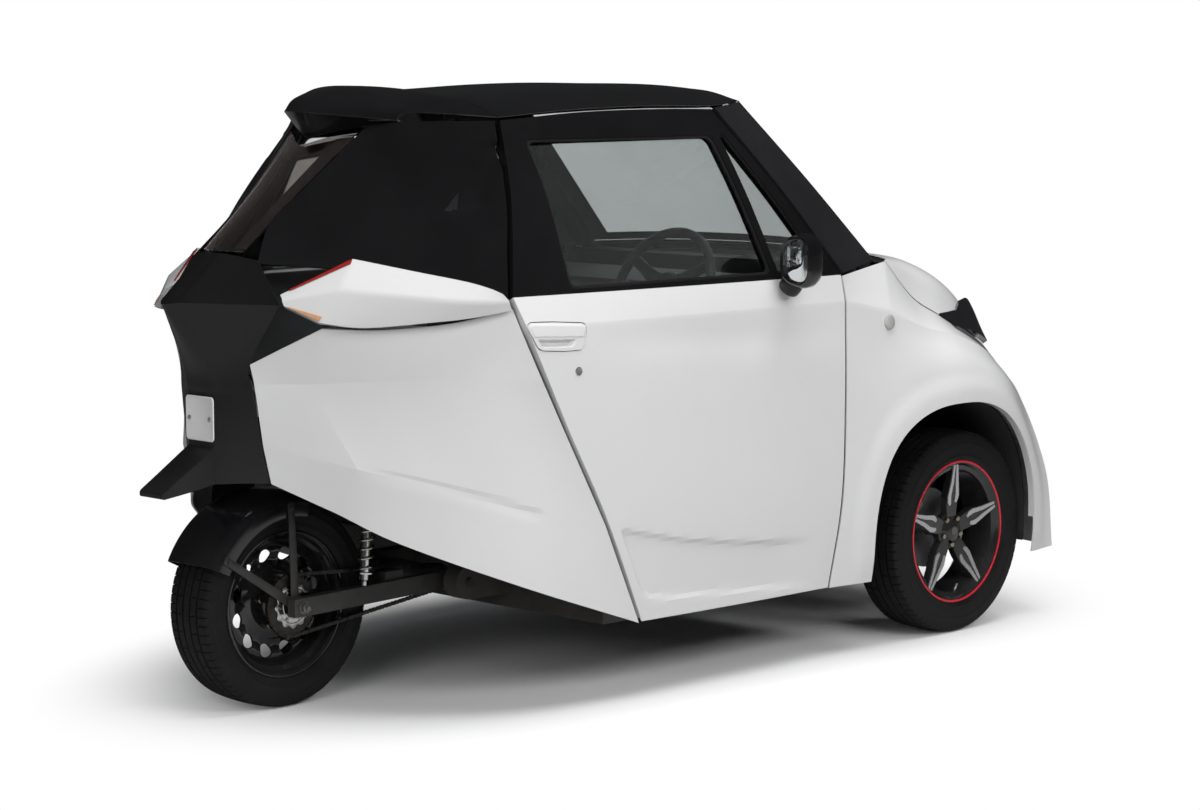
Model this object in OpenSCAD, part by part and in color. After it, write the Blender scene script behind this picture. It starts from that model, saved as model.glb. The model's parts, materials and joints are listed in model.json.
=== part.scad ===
// Three wheeled car: two steered wheels in front, one driven wheel behind.
// X points forward, Y to the left, Z up. The origin is on the ground, midway
// between the ends of the body. Panels follow hand drawn feature lines.

/* [Body] */
// Length of the body, from the tail lip to the nose
car_length = 2907; // [2500:1:3300]
// Width of the body over the front wings
car_width = 1405; // [1250:1:1560]
// Height of the roof above the ground
car_height = 1572; // [1440:1:1700]
// Gap between neighbouring body panels
panel_gap = 6; // [5:0.5:8]
// Thickness of the fixed body panels
panel_t = 5; // [4:0.5:7]
// Thickness of a whole door below the window
door_t = 58; // [45:1:70]
// Thickness of the door frame round the window
frame_t = 30; // [24:1:34]
// Thickness of the window glass
glass_t = 4; // [3:0.5:6]

/* [Wheels] */
// Distance from the front axle to the rear axle
wheelbase = 2000; // [1900:1:2080]
// Distance between the middles of the front tyres
track = 1165; // [1140:1:1190]
// Outer diameter of a front tyre
front_tyre_d = 582; // [540:1:600]
// Outer diameter of the rear tyre
rear_tyre_d = 532; // [500:1:560]
// Width of a tyre
tyre_w = 155; // [135:1:165]
// Diameter of the front rim at its flanges
front_rim_d = 404; // [380:1:412]
// Diameter of the rear rim at its flanges
rear_rim_d = 376; // [350:1:384]
// Sideways distance of the steering axis from the middle of the car
kingpin_y = 470; // [460:1:480]

/* [Running gear] */
// Distance between the middles of the two swing arm legs
arm_span = 250; // [240:1:270]
// Height of the swing arm's box section
arm_h = 46; // [36:1:54]
// Diameter of the rear axle
axle_d = 20; // [16:1:24]
// Outer diameter of the rear spring
spring_d = 62; // [50:1:72]
// Height of the floor's underside above the ground
floor_z = 192; // [180:1:205]

/* [Cabin] */
// Width of one seat cushion
seat_w = 430; // [380:1:450]
// Diameter of the steering wheel
hand_wheel_d = 360; // [330:1:380]

/* [Hidden] */
$fn = 48;
e = 0.01;
// how much the body is stretched from the size at which its lines were drawn
drawn = [2907, 1405, 1572];
kx = car_length / drawn[0];
ky = car_width / drawn[1];
kz = car_height / drawn[2];
rear_x = -1085 * kx;
front_x = rear_x + wheelbase;
front_r = front_tyre_d / 2;
rear_r = rear_tyre_d / 2;
wheel_y = track / 2;
arch_mid = [front_x - 53, front_r];
arch_size = [352, 381];
floor_t = 20;
rail_w = 50;
hand_wheel_mid = [90 * kx, -265 * ky, 1015 * kz];
hand_wheel_tilt = 25;
sprocket_r = 74;
guard_w = 201;

// ---- feature lines to panels ----
function has(list, v) = len([for (s = list) if (s == v) 1]) > 0;
// a smooth curve through the points of p, with a corner at each index in sharp
function along(p, u, sharp = []) =
    let (n = len(p) - 1, i = min(max(floor(u), 0), n - 1), t = u - i, a = p[i], b = p[i + 1],
        z = (i == 0 || has(sharp, i)) ? 2 * a - b : p[i - 1],
        c = (i + 1 == n || has(sharp, i + 1)) ? 2 * b - a : p[i + 2])
    0.5 * (2 * a + (b - z) * t + (2 * z - 5 * a + 4 * b - c) * t * t + (3 * a - z - 3 * b + c) * t * t * t);
function surf(g, u, v, sr, sc) = along([for (row = g) along(row, v, sc)], u, sr);
function unit(v) = v / max(norm(v), 1e-6);
function facing(g, u, v, sr, sc) =
    let (m = len(g) - 1, n = len(g[0]) - 1, h = 0.02,
        a = surf(g, min(u + h, m), v, sr, sc) - surf(g, max(u - h, 0), v, sr, sc),
        b = surf(g, u, min(v + h, n), sr, sc) - surf(g, u, max(v - h, 0), sr, sc))
    unit(cross(a, b));
// length of one span of the grid, taken from a tenth of it
function near(g, u0, v0, u1, v1) = 10 * norm(surf(g, u1, v1, [], []) - surf(g, u0, v0, [], []));

// A curved panel on the grid g, whose rows run from the top down and whose
// columns run from the rear forward. It lies between depths d0 and d1 under
// the surface and keeps half a panel gap from its edges (top, bottom, rear,
// front). A part of it is given as shares of the rows and of the columns.
module panel(g, nu, nv, d0 = 0, d1 = panel_t, sr = [], sc = [], gaps = [1, 1, 1, 1],
        part = [0, 1, 0, 1]) {
    m = len(g) - 1;
    n = len(g[0]) - 1;
    h = panel_gap / 2;
    ws = [for (j = [0:nv]) n * (part[2] + (part[3] - part[2]) * j / nv)];
    // how far each end of a row or a column is drawn in, in spans of the grid
    top_in = [for (v = ws) gaps[0] * h / near(g, 0, v, 0.1, v)];
    low_in = [for (v = ws) gaps[1] * h / near(g, m, v, m - 0.1, v)];
    us = [for (i = [0:nu]) m * (part[0] + (part[1] - part[0]) * i / nu)];
    rear_in = [for (u = us) gaps[2] * h / near(g, u, 0, u, 0.1)];
    front_in = [for (u = us) gaps[3] * h / near(g, u, n, u, n - 0.1)];
    at = [for (i = [0:nu]) for (j = [0:nv]) [min(max(us[i], top_in[j]), m - low_in[j]),
        min(max(ws[j], rear_in[i]), n - front_in[i])]];
    base = [for (q = at) surf(g, q[0], q[1], sr, sc)];
    dirs = [for (q = at) facing(g, q[0], q[1], sr, sc)];
    count = len(base);
    points = concat([for (i = [0:count - 1]) base[i] - dirs[i] * d0],
        [for (i = [0:count - 1]) base[i] - dirs[i] * d1]);
    w = nv + 1;
    top = [for (i = [0:nu - 1]) for (j = [0:nv - 1]) let (a = i * w + j)
        each [[a, a + 1, a + w], [a + 1, a + w + 1, a + w]]];
    low = [for (f = top) [f[2] + count, f[1] + count, f[0] + count]];
    rim = concat([for (j = [0:nv - 1]) j], [for (i = [0:nu - 1]) i * w + nv],
        [for (j = [0:nv - 1]) nu * w + nv - j], [for (i = [0:nu - 1]) (nu - i) * w]);
    r = len(rim);
    wall = [for (k = [0:r - 1]) let (a = rim[k], b = rim[(k + 1) % r])
        each [[b, a, a + count], [b, a + count, b + count]]];
    polyhedron(points, concat(top, low, wall));
}

// points drawn as [forward, sideways, up] on the right hand side of the car
function lines(rows) = [for (row = rows) [for (p = row) [p[0] * kx, -p[1] * ky, p[2] * kz]]];
// a right hand half grid, continued to the left by symmetry
function both(rows) = lines([for (row = rows) concat(row,
    [for (i = [len(row) - 2:-1:0]) [row[i][0], -row[i][1], row[i][2]]])]);
// the same grid with its columns the other way round
function turned(g) = [for (row = g) [for (i = [len(row) - 1:-1:0]) row[i]]];
function place(x, w, z) = [x * kx, -w * ky, z * kz];
module left() { mirror([0, 1, 0]) children(); }
module pair() { children(); left() children(); }
module bar(a, b, d) {
    v = b - a;
    translate(a) rotate([0, acos(v[2] / norm(v)), atan2(v[1], v[0])]) cylinder(h = norm(v), d = d);
}
module block(a, b) { translate(a) cube(b - a); }
// a cutter through the right hand side, with its outline drawn in side view
module side_cut(outline, grow = 0) {
    mid = [for (k = [0:1]) sum([for (p = outline) p[k]]) / len(outline)];
    translate([0, 0, 0]) rotate([90, 0, 0]) translate([0, 0, 300]) linear_extrude(500)
        polygon([for (p = outline) let (q = [p[0] * kx, p[1] * kz], c = [mid[0] * kx, mid[1] * kz])
            q + (q - c) * grow / norm(q - c)]);
}
function sum(v, i = 0) = i >= len(v) ? 0 : v[i] + sum(v, i + 1);

// ---- feature lines of the body ----
belt = [[-818, 620, 1062], [-400, 640, 1060], [0, 646, 1058], [398, 646, 1056]];
rail = [[-650, 396, 1490], [-400, 432, 1509], [-150, 460, 1514], [48, 482, 1511]];
door_skin = lines([belt,
    [[-790, 640, 988], [-400, 655, 985], [0, 660, 985], [402, 658, 985]],
    [[-655, 648, 725], [-300, 660, 725], [50, 664, 725], [402, 662, 725]],
    [[-520, 652, 480], [-230, 661, 465], [80, 663, 450], [392, 661, 440]],
    [[-388, 646, 202], [-130, 650, 200], [110, 650, 198], [352, 648, 197]]]);
door_upper = lines([rail,
    [[-729, 521, 1290], [-400, 550, 1290], [-75, 566, 1290], [223, 575, 1290]], belt]);
window_main = [[-600, 1440], [20, 1440], [118, 1072], [-620, 1072]];
window_small = [[48, 1440], [66, 1440], [330, 1074], [142, 1074]];
roof_grid = both([
    [[-650, 400, 1496], [-662, 240, 1545], [-668, 0, 1552]],
    [[-400, 437, 1515], [-400, 260, 1556], [-400, 0, 1561]],
    [[-150, 464, 1521], [-150, 290, 1565], [-150, 0, 1571]],
    [[48, 487, 1519], [60, 300, 1566], [65, 0, 1572]],
    [[165, 474, 1530], [212, 290, 1556], [232, 0, 1561]]]);
spoiler_grid = both([
    [[-822, 213, 1486], [-926, 98, 1500], [-1005, 0, 1510]],
    [[-815, 218, 1500], [-900, 102, 1530], [-965, 0, 1544]],
    [[-790, 243, 1506], [-835, 118, 1558], [-850, 0, 1570]],
    [[-735, 305, 1504], [-745, 160, 1560], [-750, 0, 1569]],
    [[-650, 400, 1496], [-662, 240, 1545], [-668, 0, 1552]]]);
spoiler_under = both([
    [[-806, 205, 1480], [-875, 100, 1466], [-945, 0, 1442]],
    [[-822, 213, 1486], [-926, 98, 1500], [-1005, 0, 1510]]]);
screen_grid = both([
    [[165, 474, 1530], [212, 290, 1556], [232, 0, 1561]],
    [[385, 537, 1308], [465, 310, 1328], [500, 0, 1333]],
    [[600, 590, 1085], [705, 320, 1098], [750, 0, 1102]]]);
screen_pillar = lines([
    [[48, 484, 1516], [165, 474, 1530]],
    [[223, 577, 1290], [385, 537, 1308]],
    [[398, 648, 1060], [600, 590, 1085]]]);
cowl_grid = both([
    [[600, 590, 1085], [705, 320, 1098], [750, 0, 1102]],
    [[650, 588, 1080], [770, 320, 1094], [820, 0, 1098]]]);
bonnet_grid = both([
    [[650, 588, 1080], [690, 545, 1088], [770, 320, 1096], [820, 0, 1100]],
    [[790, 575, 968], [850, 510, 1058], [900, 300, 1072], [930, 0, 1078]],
    [[930, 566, 905], [1020, 485, 1000], [1060, 290, 1026], [1080, 0, 1032]],
    [[1090, 548, 835], [1175, 440, 925], [1230, 270, 945], [1250, 0, 950]],
    [[1215, 500, 782], [1300, 390, 820], [1350, 250, 832], [1375, 0, 836]]]);
nose_grid = both([
    [[1215, 500, 782], [1300, 390, 820], [1350, 250, 832], [1375, 0, 836]],
    [[1270, 600, 650], [1360, 430, 665], [1420, 230, 672], [1440, 0, 674]],
    [[1322, 662, 430], [1400, 450, 430], [1440, 230, 430], [1453, 0, 430]],
    [[1335, 680, 205], [1395, 450, 202], [1425, 230, 200], [1435, 0, 200]]]);
wing_grid = lines([
    [[398, 646, 1056], [650, 588, 1080], [790, 575, 968], [930, 566, 905], [1090, 548, 835], [1215, 500, 782]],
    [[402, 658, 985], [600, 652, 945], [760, 646, 890], [920, 640, 855], [1080, 618, 800], [1240, 552, 730]],
    [[402, 662, 725], [560, 672, 735], [740, 690, 742], [910, 700, 735], [1110, 682, 690], [1270, 600, 650]],
    [[392, 661, 440], [540, 682, 440], [730, 698, 440], [920, 702, 440], [1170, 700, 440], [1322, 662, 430]],
    [[352, 648, 198], [520, 668, 198], [720, 685, 200], [920, 690, 200], [1160, 695, 202], [1335, 680, 205]]]);
quarter_grid = lines([
    [[-1252, 140, 895], [-1160, 308, 988], [-1050, 405, 985], [-925, 515, 1000], [-808, 624, 1036]],
    [[-1243, 145, 846], [-1150, 245, 846], [-1010, 400, 855], [-870, 540, 860], [-727, 642, 860]],
    [[-1225, 155, 690], [-1085, 350, 638], [-945, 480, 590], [-760, 590, 530], [-513, 651, 468]],
    [[-1209, 165, 597], [-1105, 290, 525], [-1003, 415, 450], [-760, 595, 335], [-388, 648, 199]]]);
pod_grid = lines([
    [[-1218, 205, 1050], [-1048, 300, 1144], [-957, 430, 1114], [-880, 545, 1090], [-826, 612, 1066]],
    [[-1224, 222, 1046], [-1120, 335, 1075], [-1020, 452, 1062], [-915, 560, 1050], [-818, 622, 1050]],
    [[-1220, 232, 1040], [-1178, 318, 1000], [-1090, 400, 990], [-950, 530, 1008], [-812, 626, 1032]]]);
pillar_grid = lines([
    [[-862, 143, 1478], [-818, 210, 1488], [-735, 305, 1490], [-650, 396, 1490]],
    [[-1042, 97, 1317], [-912, 206, 1341], [-830, 350, 1300], [-729, 521, 1290]],
    [[-1140, 86, 1236], [-1010, 224, 1246], [-900, 390, 1190], [-775, 572, 1175]],
    [[-1215, 130, 1150], [-1110, 226, 1150], [-960, 400, 1130], [-818, 620, 1062]]]);
glass_grid = turned(both([
    [[-884, 134, 1458], [-930, 68, 1446], [-964, 0, 1427]],
    [[-1042, 97, 1317], [-1070, 50, 1320], [-1080, 0, 1321]],
    [[-1215, 78, 1166], [-1250, 40, 1169], [-1262, 0, 1170]]]));
tail_grid = turned(both([
    [[-1212, 132, 1150], [-1240, 70, 1162], [-1255, 38, 1166], [-1262, 0, 1166]],
    [[-1216, 222, 1044], [-1300, 130, 1047], [-1385, 37, 1050], [-1408, 0, 1046]],
    [[-1250, 142, 893], [-1282, 95, 893], [-1312, 50, 893], [-1316, 0, 893]],
    [[-1242, 147, 820], [-1270, 100, 820], [-1295, 50, 820], [-1296, 0, 820]],
    [[-1225, 154, 690], [-1262, 100, 690], [-1295, 50, 690], [-1296, 0, 690]],
    [[-1209, 165, 597], [-1250, 105, 595], [-1294, 50, 592], [-1296, 0, 592]]]));

// sharp lines of the tail: the shoulder, the plate's flat and the spine
tail_sr = [1, 3, 4];
tail_sc = [2, 4];

// ---- body ----
module floor_pan() color("dimgray") {
    w = 560 * ky;
    block([-400 * kx, -w, floor_z], [540 * kx, w, floor_z + floor_t]);
    pair() block([-400 * kx, -w, floor_z], [540 * kx, -w + rail_w, floor_z + 120]);
    block([540 * kx - 30, -330, floor_z], [540 * kx, 330, 1000 * kz]);
    pair() block([540 * kx - 1, -300, floor_z + 40], [1290 * kx, -250, floor_z + 100]);
    difference() {
        union() {
            block([1230 * kx, -251, floor_z + 40], [1230 * kx + 60, 251, floor_z + 100]);
            for (y = [-215, 145]) block([1230 * kx + 59, y, floor_z + 40], [1420 * kx, y + 70, floor_z + 100]);
            panel(nose_grid, 1, 6, panel_t + 0.6, panel_t + 26, part = [7 / 8, 1, 4 / 14, 10 / 14], gaps = [0, 0, 0, 0]);
        }
        tow_hole(16.5);
        translate([1230 * kx + 60, 0, 0]) tow_hole(44);
    }
    block([-400 * kx - 40, -w, floor_z], [-400 * kx + 1, w, floor_z + 150]);
    pair() difference() {
        union() {
            block([-590 * kx, -215, floor_z + 40], [-400 * kx, -165, floor_z + 120]);
            pivot() cylinder(h = 50, d = 90, center = true);
        }
        pivot() cylinder(h = 60, d = 24, center = true);
    }
}
module pivot() translate([-590 * kx, -190, floor_z + 86]) rotate([90, 0, 0]) children();
module tow_hole(d) translate([1200 * kx, -180, floor_z + 70]) rotate([0, 90, 0]) cylinder(h = 400, d = d);

module body_frame() color("black") {
    d = panel_t + 0.6;
    free = [0, 0, 0, 0];
    pair() {
        // screen pillar, the flange under the glass and the post the door hangs on
        panel(screen_pillar, 6, 2, 0, 18, gaps = [2.4, 0, 2.3, 1]);
        panel(screen_grid, 8, 1, glass_t + 0.5, glass_t + 14, part = [0.03, 1, 0, 0.06], gaps = free);
        panel(wing_grid, 10, 1, d + 1, d + 26, part = [0, 0.96, 0.035, 1 / 14], sr = [1], sc = [1], gaps = free);
        block(place(388, 636, 204), place(440, 560.4, 292));
        block(place(440, 618, 1030), place(490, 600, 1075));
        block(place(530, 596, 1050), place(575, 560, 1081));
        // roof rail and the hoop behind the door
        panel(roof_grid, 9, 1, d + 1, d + 22, part = [0, 0.97, 0.08, 0.17], gaps = free);
        panel(pillar_grid, 8, 1, d + 0.2, d + 32, part = [0, 1, 6 / 9, 7 / 9], sc = [1], gaps = [1.8, 0, 0, 0]);
        panel(quarter_grid, 9, 1, d, d + 34, part = [0, 1, 8 / 12, 10 / 12], sr = [1, 2], sc = [1], gaps = free);
        bar(place(-690, 262, 1500), place(-880, 395, 1085), 26, $fn = 8);
        bar(place(-880, 395, 1085), place(-905, 500, 960), 26, $fn = 8);
        block(place(-700, 250, 1508), place(-620, 200, 1530));
        // ribs behind the quarter panel, the lamp pod, the rear pillar and the tail
        panel(quarter_grid, 1, 9, d + 1, d + 34, part = [1 / 9, 2 / 9, 1 / 12, 10 / 12], sr = [1, 2], sc = [1], gaps = free);
        panel(quarter_grid, 1, 9, d, d + 34, part = [5 / 9, 6 / 9, 1 / 12, 10 / 12], sr = [1, 2], sc = [1], gaps = free);
        panel(pod_grid, 1, 8, 16.6, 46, part = [0.25, 0.5, 2 / 12, 10 / 12], gaps = free);
        bar(place(-880, 395, 1078), place(-965, 457, 1060), 20, $fn = 8);
        panel(pillar_grid, 8, 1, d, d + 22, part = [0, 1, 0.04, 1 / 9], sc = [1], gaps = [1.8, 0, 0, 0]);
        panel(glass_grid, 6, 1, glass_t + 0.5, glass_t + 12, part = [0.03, 0.97, 0.02, 1 / 6], gaps = free);
        // links between them
        bar(place(110, 466, 1506), place(110, 400, 1522), 14, $fn = 8);
        bar(place(-894, 128, 1398), place(-712, 300, 1450), 18, $fn = 8);
        bar(place(-1040, 80, 1304), place(-1012, 126, 1300), 12, $fn = 8);
        bar(place(-1185, 150, 1136), place(-1203, 116, 1126), 16, $fn = 8);
        panel(tail_grid, 10, 1, d + 0.9, d + 20, part = [0, 0.9, 0.03, 0.1], sr = tail_sr, sc = tail_sc, gaps = free);
    }
    panel(roof_grid, 1, 10, d + 1, d + 22, part = [8 / 9, 0.97, 1 / 12, 11 / 12], gaps = free);
    panel(spoiler_grid, 1, 12, d + 1.5, d + 22, part = [0.8, 1, 0.05, 0.95], gaps = free);
    panel(roof_grid, 1, 12, d + 1.5, d + 22, part = [0, 0.1, 0.06, 0.94], gaps = free);
    panel(glass_grid, 1, 6, glass_t + 0.6, glass_t + 12, part = [0.04, 1 / 6, 0, 1], gaps = [0, 0, 1, 1]);
    panel(cowl_grid, 1, 10, 8.5, 26, part = [0.1, 0.9, 0.02, 0.98], gaps = free);
    panel(tail_grid, 1, 10, d + 1, d + 20, part = [0.8, 0.9, 1 / 12, 11 / 12], sr = tail_sr, sc = tail_sc, gaps = free);
    // bar under the windscreen, deck above the rear wheel and its front wall
    block([560 * kx, -574 * ky, 1000 * kz], [660 * kx, 574 * ky, 1068 * kz]);
    deck = [[-1203, 138], [-1075, 320], [-900, 480], [-700, 560], [-620, 572], [-400, 572]];
    translate([0, 0, 640 * kz]) linear_extrude(14)
        polygon(concat([for (p = deck) [p[0] * kx, -p[1] * ky]],
            [for (i = [len(deck) - 1:-1:0]) [deck[i][0] * kx, deck[i][1] * ky]]));
    block([-400 * kx - 30, -560 * ky, floor_z + 150.5], [-400 * kx, 560 * ky, 642 * kz]);
}
module roof() color("black") panel(roof_grid, 9, 12, gaps = [0.4, 1, 1, 1]);
module rear_spoiler() color("black") {
    panel(spoiler_grid, 8, 12, gaps = [0, 0.4, 1, 1]);
    panel(spoiler_under, 2, 12, gaps = [0, 0, 0.4, 0.4]);
}
module windscreen() color("dimgray") panel(screen_grid, 8, 10, 0, glass_t, gaps = [1, 1, 1, 1]);
module cowl_panel() color("black") panel(cowl_grid, 1, 10, 0, 8, gaps = [0.5, 1, 0.5, 0.5]);
module bonnet() color("whitesmoke") panel(bonnet_grid, 10, 14, 0, panel_t, gaps = [2, 1.6, 1.4, 1.4]);
module nose_panel() color("whitesmoke") difference() {
    panel(nose_grid, 8, 14, gaps = [1, 0, 1.3, 1.3]);
    translate([1200 * kx, -225, 338 * kz]) cube([400, 450, 150 * kz]);
    tow_hole(44);
}
module grille() color("black") {
    flush = [0, 0, 0, 0];
    for (c = [3, 10])
        panel(nose_grid, 3, 1, panel_t + 0.6, panel_t + 18, part = [4 / 8, 7 / 8, c / 14, (c + 1) / 14], gaps = flush);
    for (i = [0:4]) let (r = 0.575 + 0.052 * i)
        panel(nose_grid, 1, 7, panel_t + 5, panel_t + 15, part = [r, r + 0.018, 3.5 / 14, 10.5 / 14], gaps = flush);
}
module headlamps() color("black") pair()
    panel(wing_grid, 3, 6, -9, -0.5, part = [0, 0.2, 0.66, 1], sr = [1], gaps = [2, 0, 0, 1.5]);
// outline of the wheel arch in side view, squarer than an ellipse
function arch(n = 2.4, steps = 40) = [for (i = [0:steps]) let (a = 180 * i / steps)
    [arch_mid[0] + arch_size[0] * sign(cos(a)) * pow(abs(cos(a)), 2 / n),
     arch_mid[1] + arch_size[1] * pow(sin(a), 2 / n)]];
module front_wings() color("whitesmoke") pair() difference() {
    panel(wing_grid, 10, 14, gaps = [1, 0, 1, 1], sr = [1], sc = [1]);
    rotate([90, 0, 0]) translate([0, 0, 400 * ky]) linear_extrude(500) polygon(concat(
        [arch_mid - [arch_size[0], 300]], [for (i = [40:-1:0]) arch()[i]], [arch_mid + [arch_size[0], -300]]));
}
module door_half() {
    difference() {
        union() {
            panel(door_skin, 8, 8, 0, door_t, sr = [1], gaps = [0, 1, 1.9, 1.6]);
            panel(door_upper, 6, 8, 0, frame_t, gaps = [1.6, 0, 1.9, 1.6]);
        }
        side_cut(window_main);
        side_cut(window_small);
    }
}
module door_right() color("whitesmoke") door_half();
module door_left() color("whitesmoke") left() door_half();
module door_glass_half() {
    for (w = [window_main, window_small]) intersection() {
        panel(door_upper, 6, 8, 8, 8 + glass_t);
        side_cut(w, -0.4);
    }
}
module door_glass_right() color("dimgray") door_glass_half();
module door_glass_left() color("dimgray") left() door_glass_half();
module mirror_half() {
    translate([155 * kx, -735 * ky, 1110 * kz]) hull() {
        scale([0.5, 1, 0.7]) sphere(d = 130, $fn = 24);
        translate([-45, 15, 0]) scale([0.25, 1, 0.8]) sphere(d = 140, $fn = 24);
    }
    hull() {
        translate([150 * kx, -700 * ky, 1080 * kz]) sphere(d = 40, $fn = 16);
        translate([150 * kx, -673.4 * ky, 1040 * kz]) sphere(d = 46, $fn = 16);
    }
}
module mirror_right() color("black") mirror_half();
module mirror_left() color("black") left() mirror_half();
module quarter_panels() color("whitesmoke") pair()
    panel(quarter_grid, 9, 12, sr = [1, 2], sc = [1], gaps = [0.5, 0, 0.6, 2.8]);
module lamp_pods() color("whitesmoke") pair()
    panel(pod_grid, 4, 12, -14, 16, gaps = [0.5, 0.5, 3, 3]);
module tail_lamps() color("firebrick") pair() {
    panel(pod_grid, 1, 5, -17.4, -14.8, part = [0.03, 0.16, 0.04, 0.27], gaps = [0.5, 0, 0.5, 0]);
    panel(pod_grid, 1, 5, -17.4, -14.8, part = [0.84, 0.97, 0.04, 0.27], gaps = [0, 0.5, 0.5, 0]);
}
module rear_pillars() color("black") pair()
    panel(pillar_grid, 8, 9, gaps = [1.8, 0.5, 0.9, 2.9], sc = [1]);
module rear_glass() color("dimgray") panel(glass_grid, 6, 6, 0, glass_t, gaps = [1, 1, 1.2, 1.2]);
module tail_panel() color("black") difference() {
    union() {
        panel(tail_grid, 10, 12, gaps = [0.5, 0, 0.6, 0.6], sr = tail_sr, sc = tail_sc);
        // the lip under the number plate
        hull() {
            translate([-1296 * kx, -52, 590 * kz]) cube([6, 104, 98 * kz]);
            translate([-1453.5 * kx, -50, 566 * kz]) cube([12, 100, 20]);
        }
    }
    plate_holes();
}
module plate_holes() for (y = [-40, 40])
    translate([-1297 * kx - 20, y, 754 * kz]) rotate([0, 90, 0]) cylinder(h = 60, d = 5.2);
module number_plate() color("gold") difference() {
    translate([-1296.5 * kx - 3, -55, 698 * kz]) cube([3, 110, 112]);
    plate_holes();
}
module dashboard() color("dimgray") difference() {
    hull() {
        block([340 * kx, -535 * ky, 860 * kz], [540 * kx - 30.5, 535 * ky, 1040 * kz]);
        block([290 * kx, -520 * ky, 930 * kz], [330 * kx, 520 * ky, 1030 * kz]);
    }
    translate(hand_wheel_mid) rotate([0, 90 + hand_wheel_tilt, 0]) cylinder(h = 420, d = 47);
}
module steering_wheel() color("dimgray") translate(hand_wheel_mid) rotate([0, 90 + hand_wheel_tilt, 0]) {
    rotate_extrude($fn = 64) translate([hand_wheel_d / 2 - 13, 0]) circle(d = 26, $fn = 24);
    translate([0, 0, 0]) cylinder(h = 30, d = 110);
    for (a = [0, 120, 240]) rotate([0, 0, a]) translate([0, -14, 4])
        cube([hand_wheel_d / 2 - 16, 28, 10]);
    translate([0, 0, 29]) cylinder(h = 220, d = 36);
}
module one_seat() {
    translate([-305 * kx, -seat_w / 2, floor_z + floor_t + 60]) hull() {
        block([20, 20, 0], [460, seat_w - 20, 130]);
        block([0, 30, 20], [480, seat_w - 30, 100]);
    }
    translate([-322 * kx, 0, floor_z + floor_t + 180]) rotate([0, -14, 0]) hull() {
        block([0, 30 - seat_w / 2, 0], [110, seat_w / 2 - 30, 560]);
        block([10, 12 - seat_w / 2, 60], [90, seat_w / 2 - 12, 420]);
    }
    // the runners it stands on
    for (y = [-140, 120]) block([-300 * kx, y, floor_z + floor_t], [120 * kx, y + 20, floor_z + floor_t + 60]);
}
module seats() color("dimgray") for (s = [-1, 1]) translate([0, s * 265 * ky, 0]) one_seat();
module engine() color("gray") {
    block([620 * kx, -225, floor_z + 70], [1120 * kx, 225, floor_z + 420]);
    pair() block([700 * kx, -249.7, floor_z + 60], [760 * kx, -220, floor_z + 110]);
}

// ---- front wheels ----
module front_arms() color("dimgray") pair() {
    for (x = [-70, 70]) {
        bar([front_x + x, -304.6, floor_z + 62], [front_x + x / 6, 14 - kingpin_y, front_r - 85], 22);
        bar([front_x + x * 0.8, -305.5, floor_z + 300], [front_x + x / 6, 14 - kingpin_y, front_r + 105], 18);
        block([front_x + x - 18, -300, floor_z + 100.3], [front_x + x + 18, -262, floor_z + 330]);
    }
    translate([front_x, -kingpin_y, front_r - 96]) cylinder(h = 22, d = 34);
    translate([front_x, -kingpin_y, front_r + 94]) cylinder(h = 22, d = 34);
}
module knuckle() {
    translate([front_x, -kingpin_y, front_r - 73.5]) cylinder(h = 167, d = 36);
    translate([front_x, -kingpin_y, front_r]) rotate([90, 0, 0]) {
        cylinder(h = wheel_y - kingpin_y + 12, d = 44);
        cylinder(h = wheel_y - kingpin_y + 58, d = 24);
        translate([0, 0, 20]) cylinder(h = 24, d = 120);
        translate([0, 0, 60]) cylinder(h = 12, d = 230);
    }
}
module knuckle_right() color("dimgray") knuckle();
module knuckle_left() color("dimgray") left() knuckle();
module tyre(r, rim_r) rotate([90, 0, 0]) rotate_extrude($fn = 96) {
    h = tyre_w / 2;
    s = h * 0.13;
    half = [[r, 0], [r - 3, h - 2.6 * s], [r - 16, h - s], [rim_r + (r - rim_r) / 2, h],
        [rim_r + 12, h - 3], [rim_r + 2, h - 8], [rim_r + 0.5, h - 18.5], [rim_r - 8.7, h - 18.5]];
    polygon(concat([for (i = [len(half) - 1:-1:1]) [half[i][0], -half[i][1]]], half));
}
module barrel(rim_r, wall) rotate([90, 0, 0]) rotate_extrude($fn = 96) {
    h = tyre_w / 2 - 10;
    polygon([[rim_r, -h], [rim_r, -h + 6], [rim_r - 9, -h + 8], [rim_r - 9, h - 8], [rim_r, h - 6],
        [rim_r, h], [rim_r - wall, h], [rim_r - 9 - wall, h - 16], [rim_r - 9 - wall, 16 - h],
        [rim_r - wall, -h]]);
}
module front_rim() {
    barrel(front_rim_d / 2 , 6);
    translate([0, 0, 0]) rotate([90, 0, 0]) translate([0, 0, 30]) difference() {
        union() {
            cylinder(h = 26, d = 110);
            for (k = [0:4]) rotate([0, 0, 90 + 72 * k]) for (s = [-1, 1])
                translate([30, s * 17 - 8, 4]) cube([front_rim_d / 2 - 42, 16, 20]);
        }
        translate([0, 0, -1]) cylinder(h = 60, d = 24.6);
    }
}
module at_front() translate([front_x, -wheel_y, front_r]) children();
module front_rim_right() color("silver") at_front() front_rim();
module front_rim_left() color("silver") left() at_front() front_rim();
module front_tyre_right() color("black") at_front() tyre(front_r, front_rim_d / 2);
module front_tyre_left() color("black") left() at_front() tyre(front_r, front_rim_d / 2);

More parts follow.
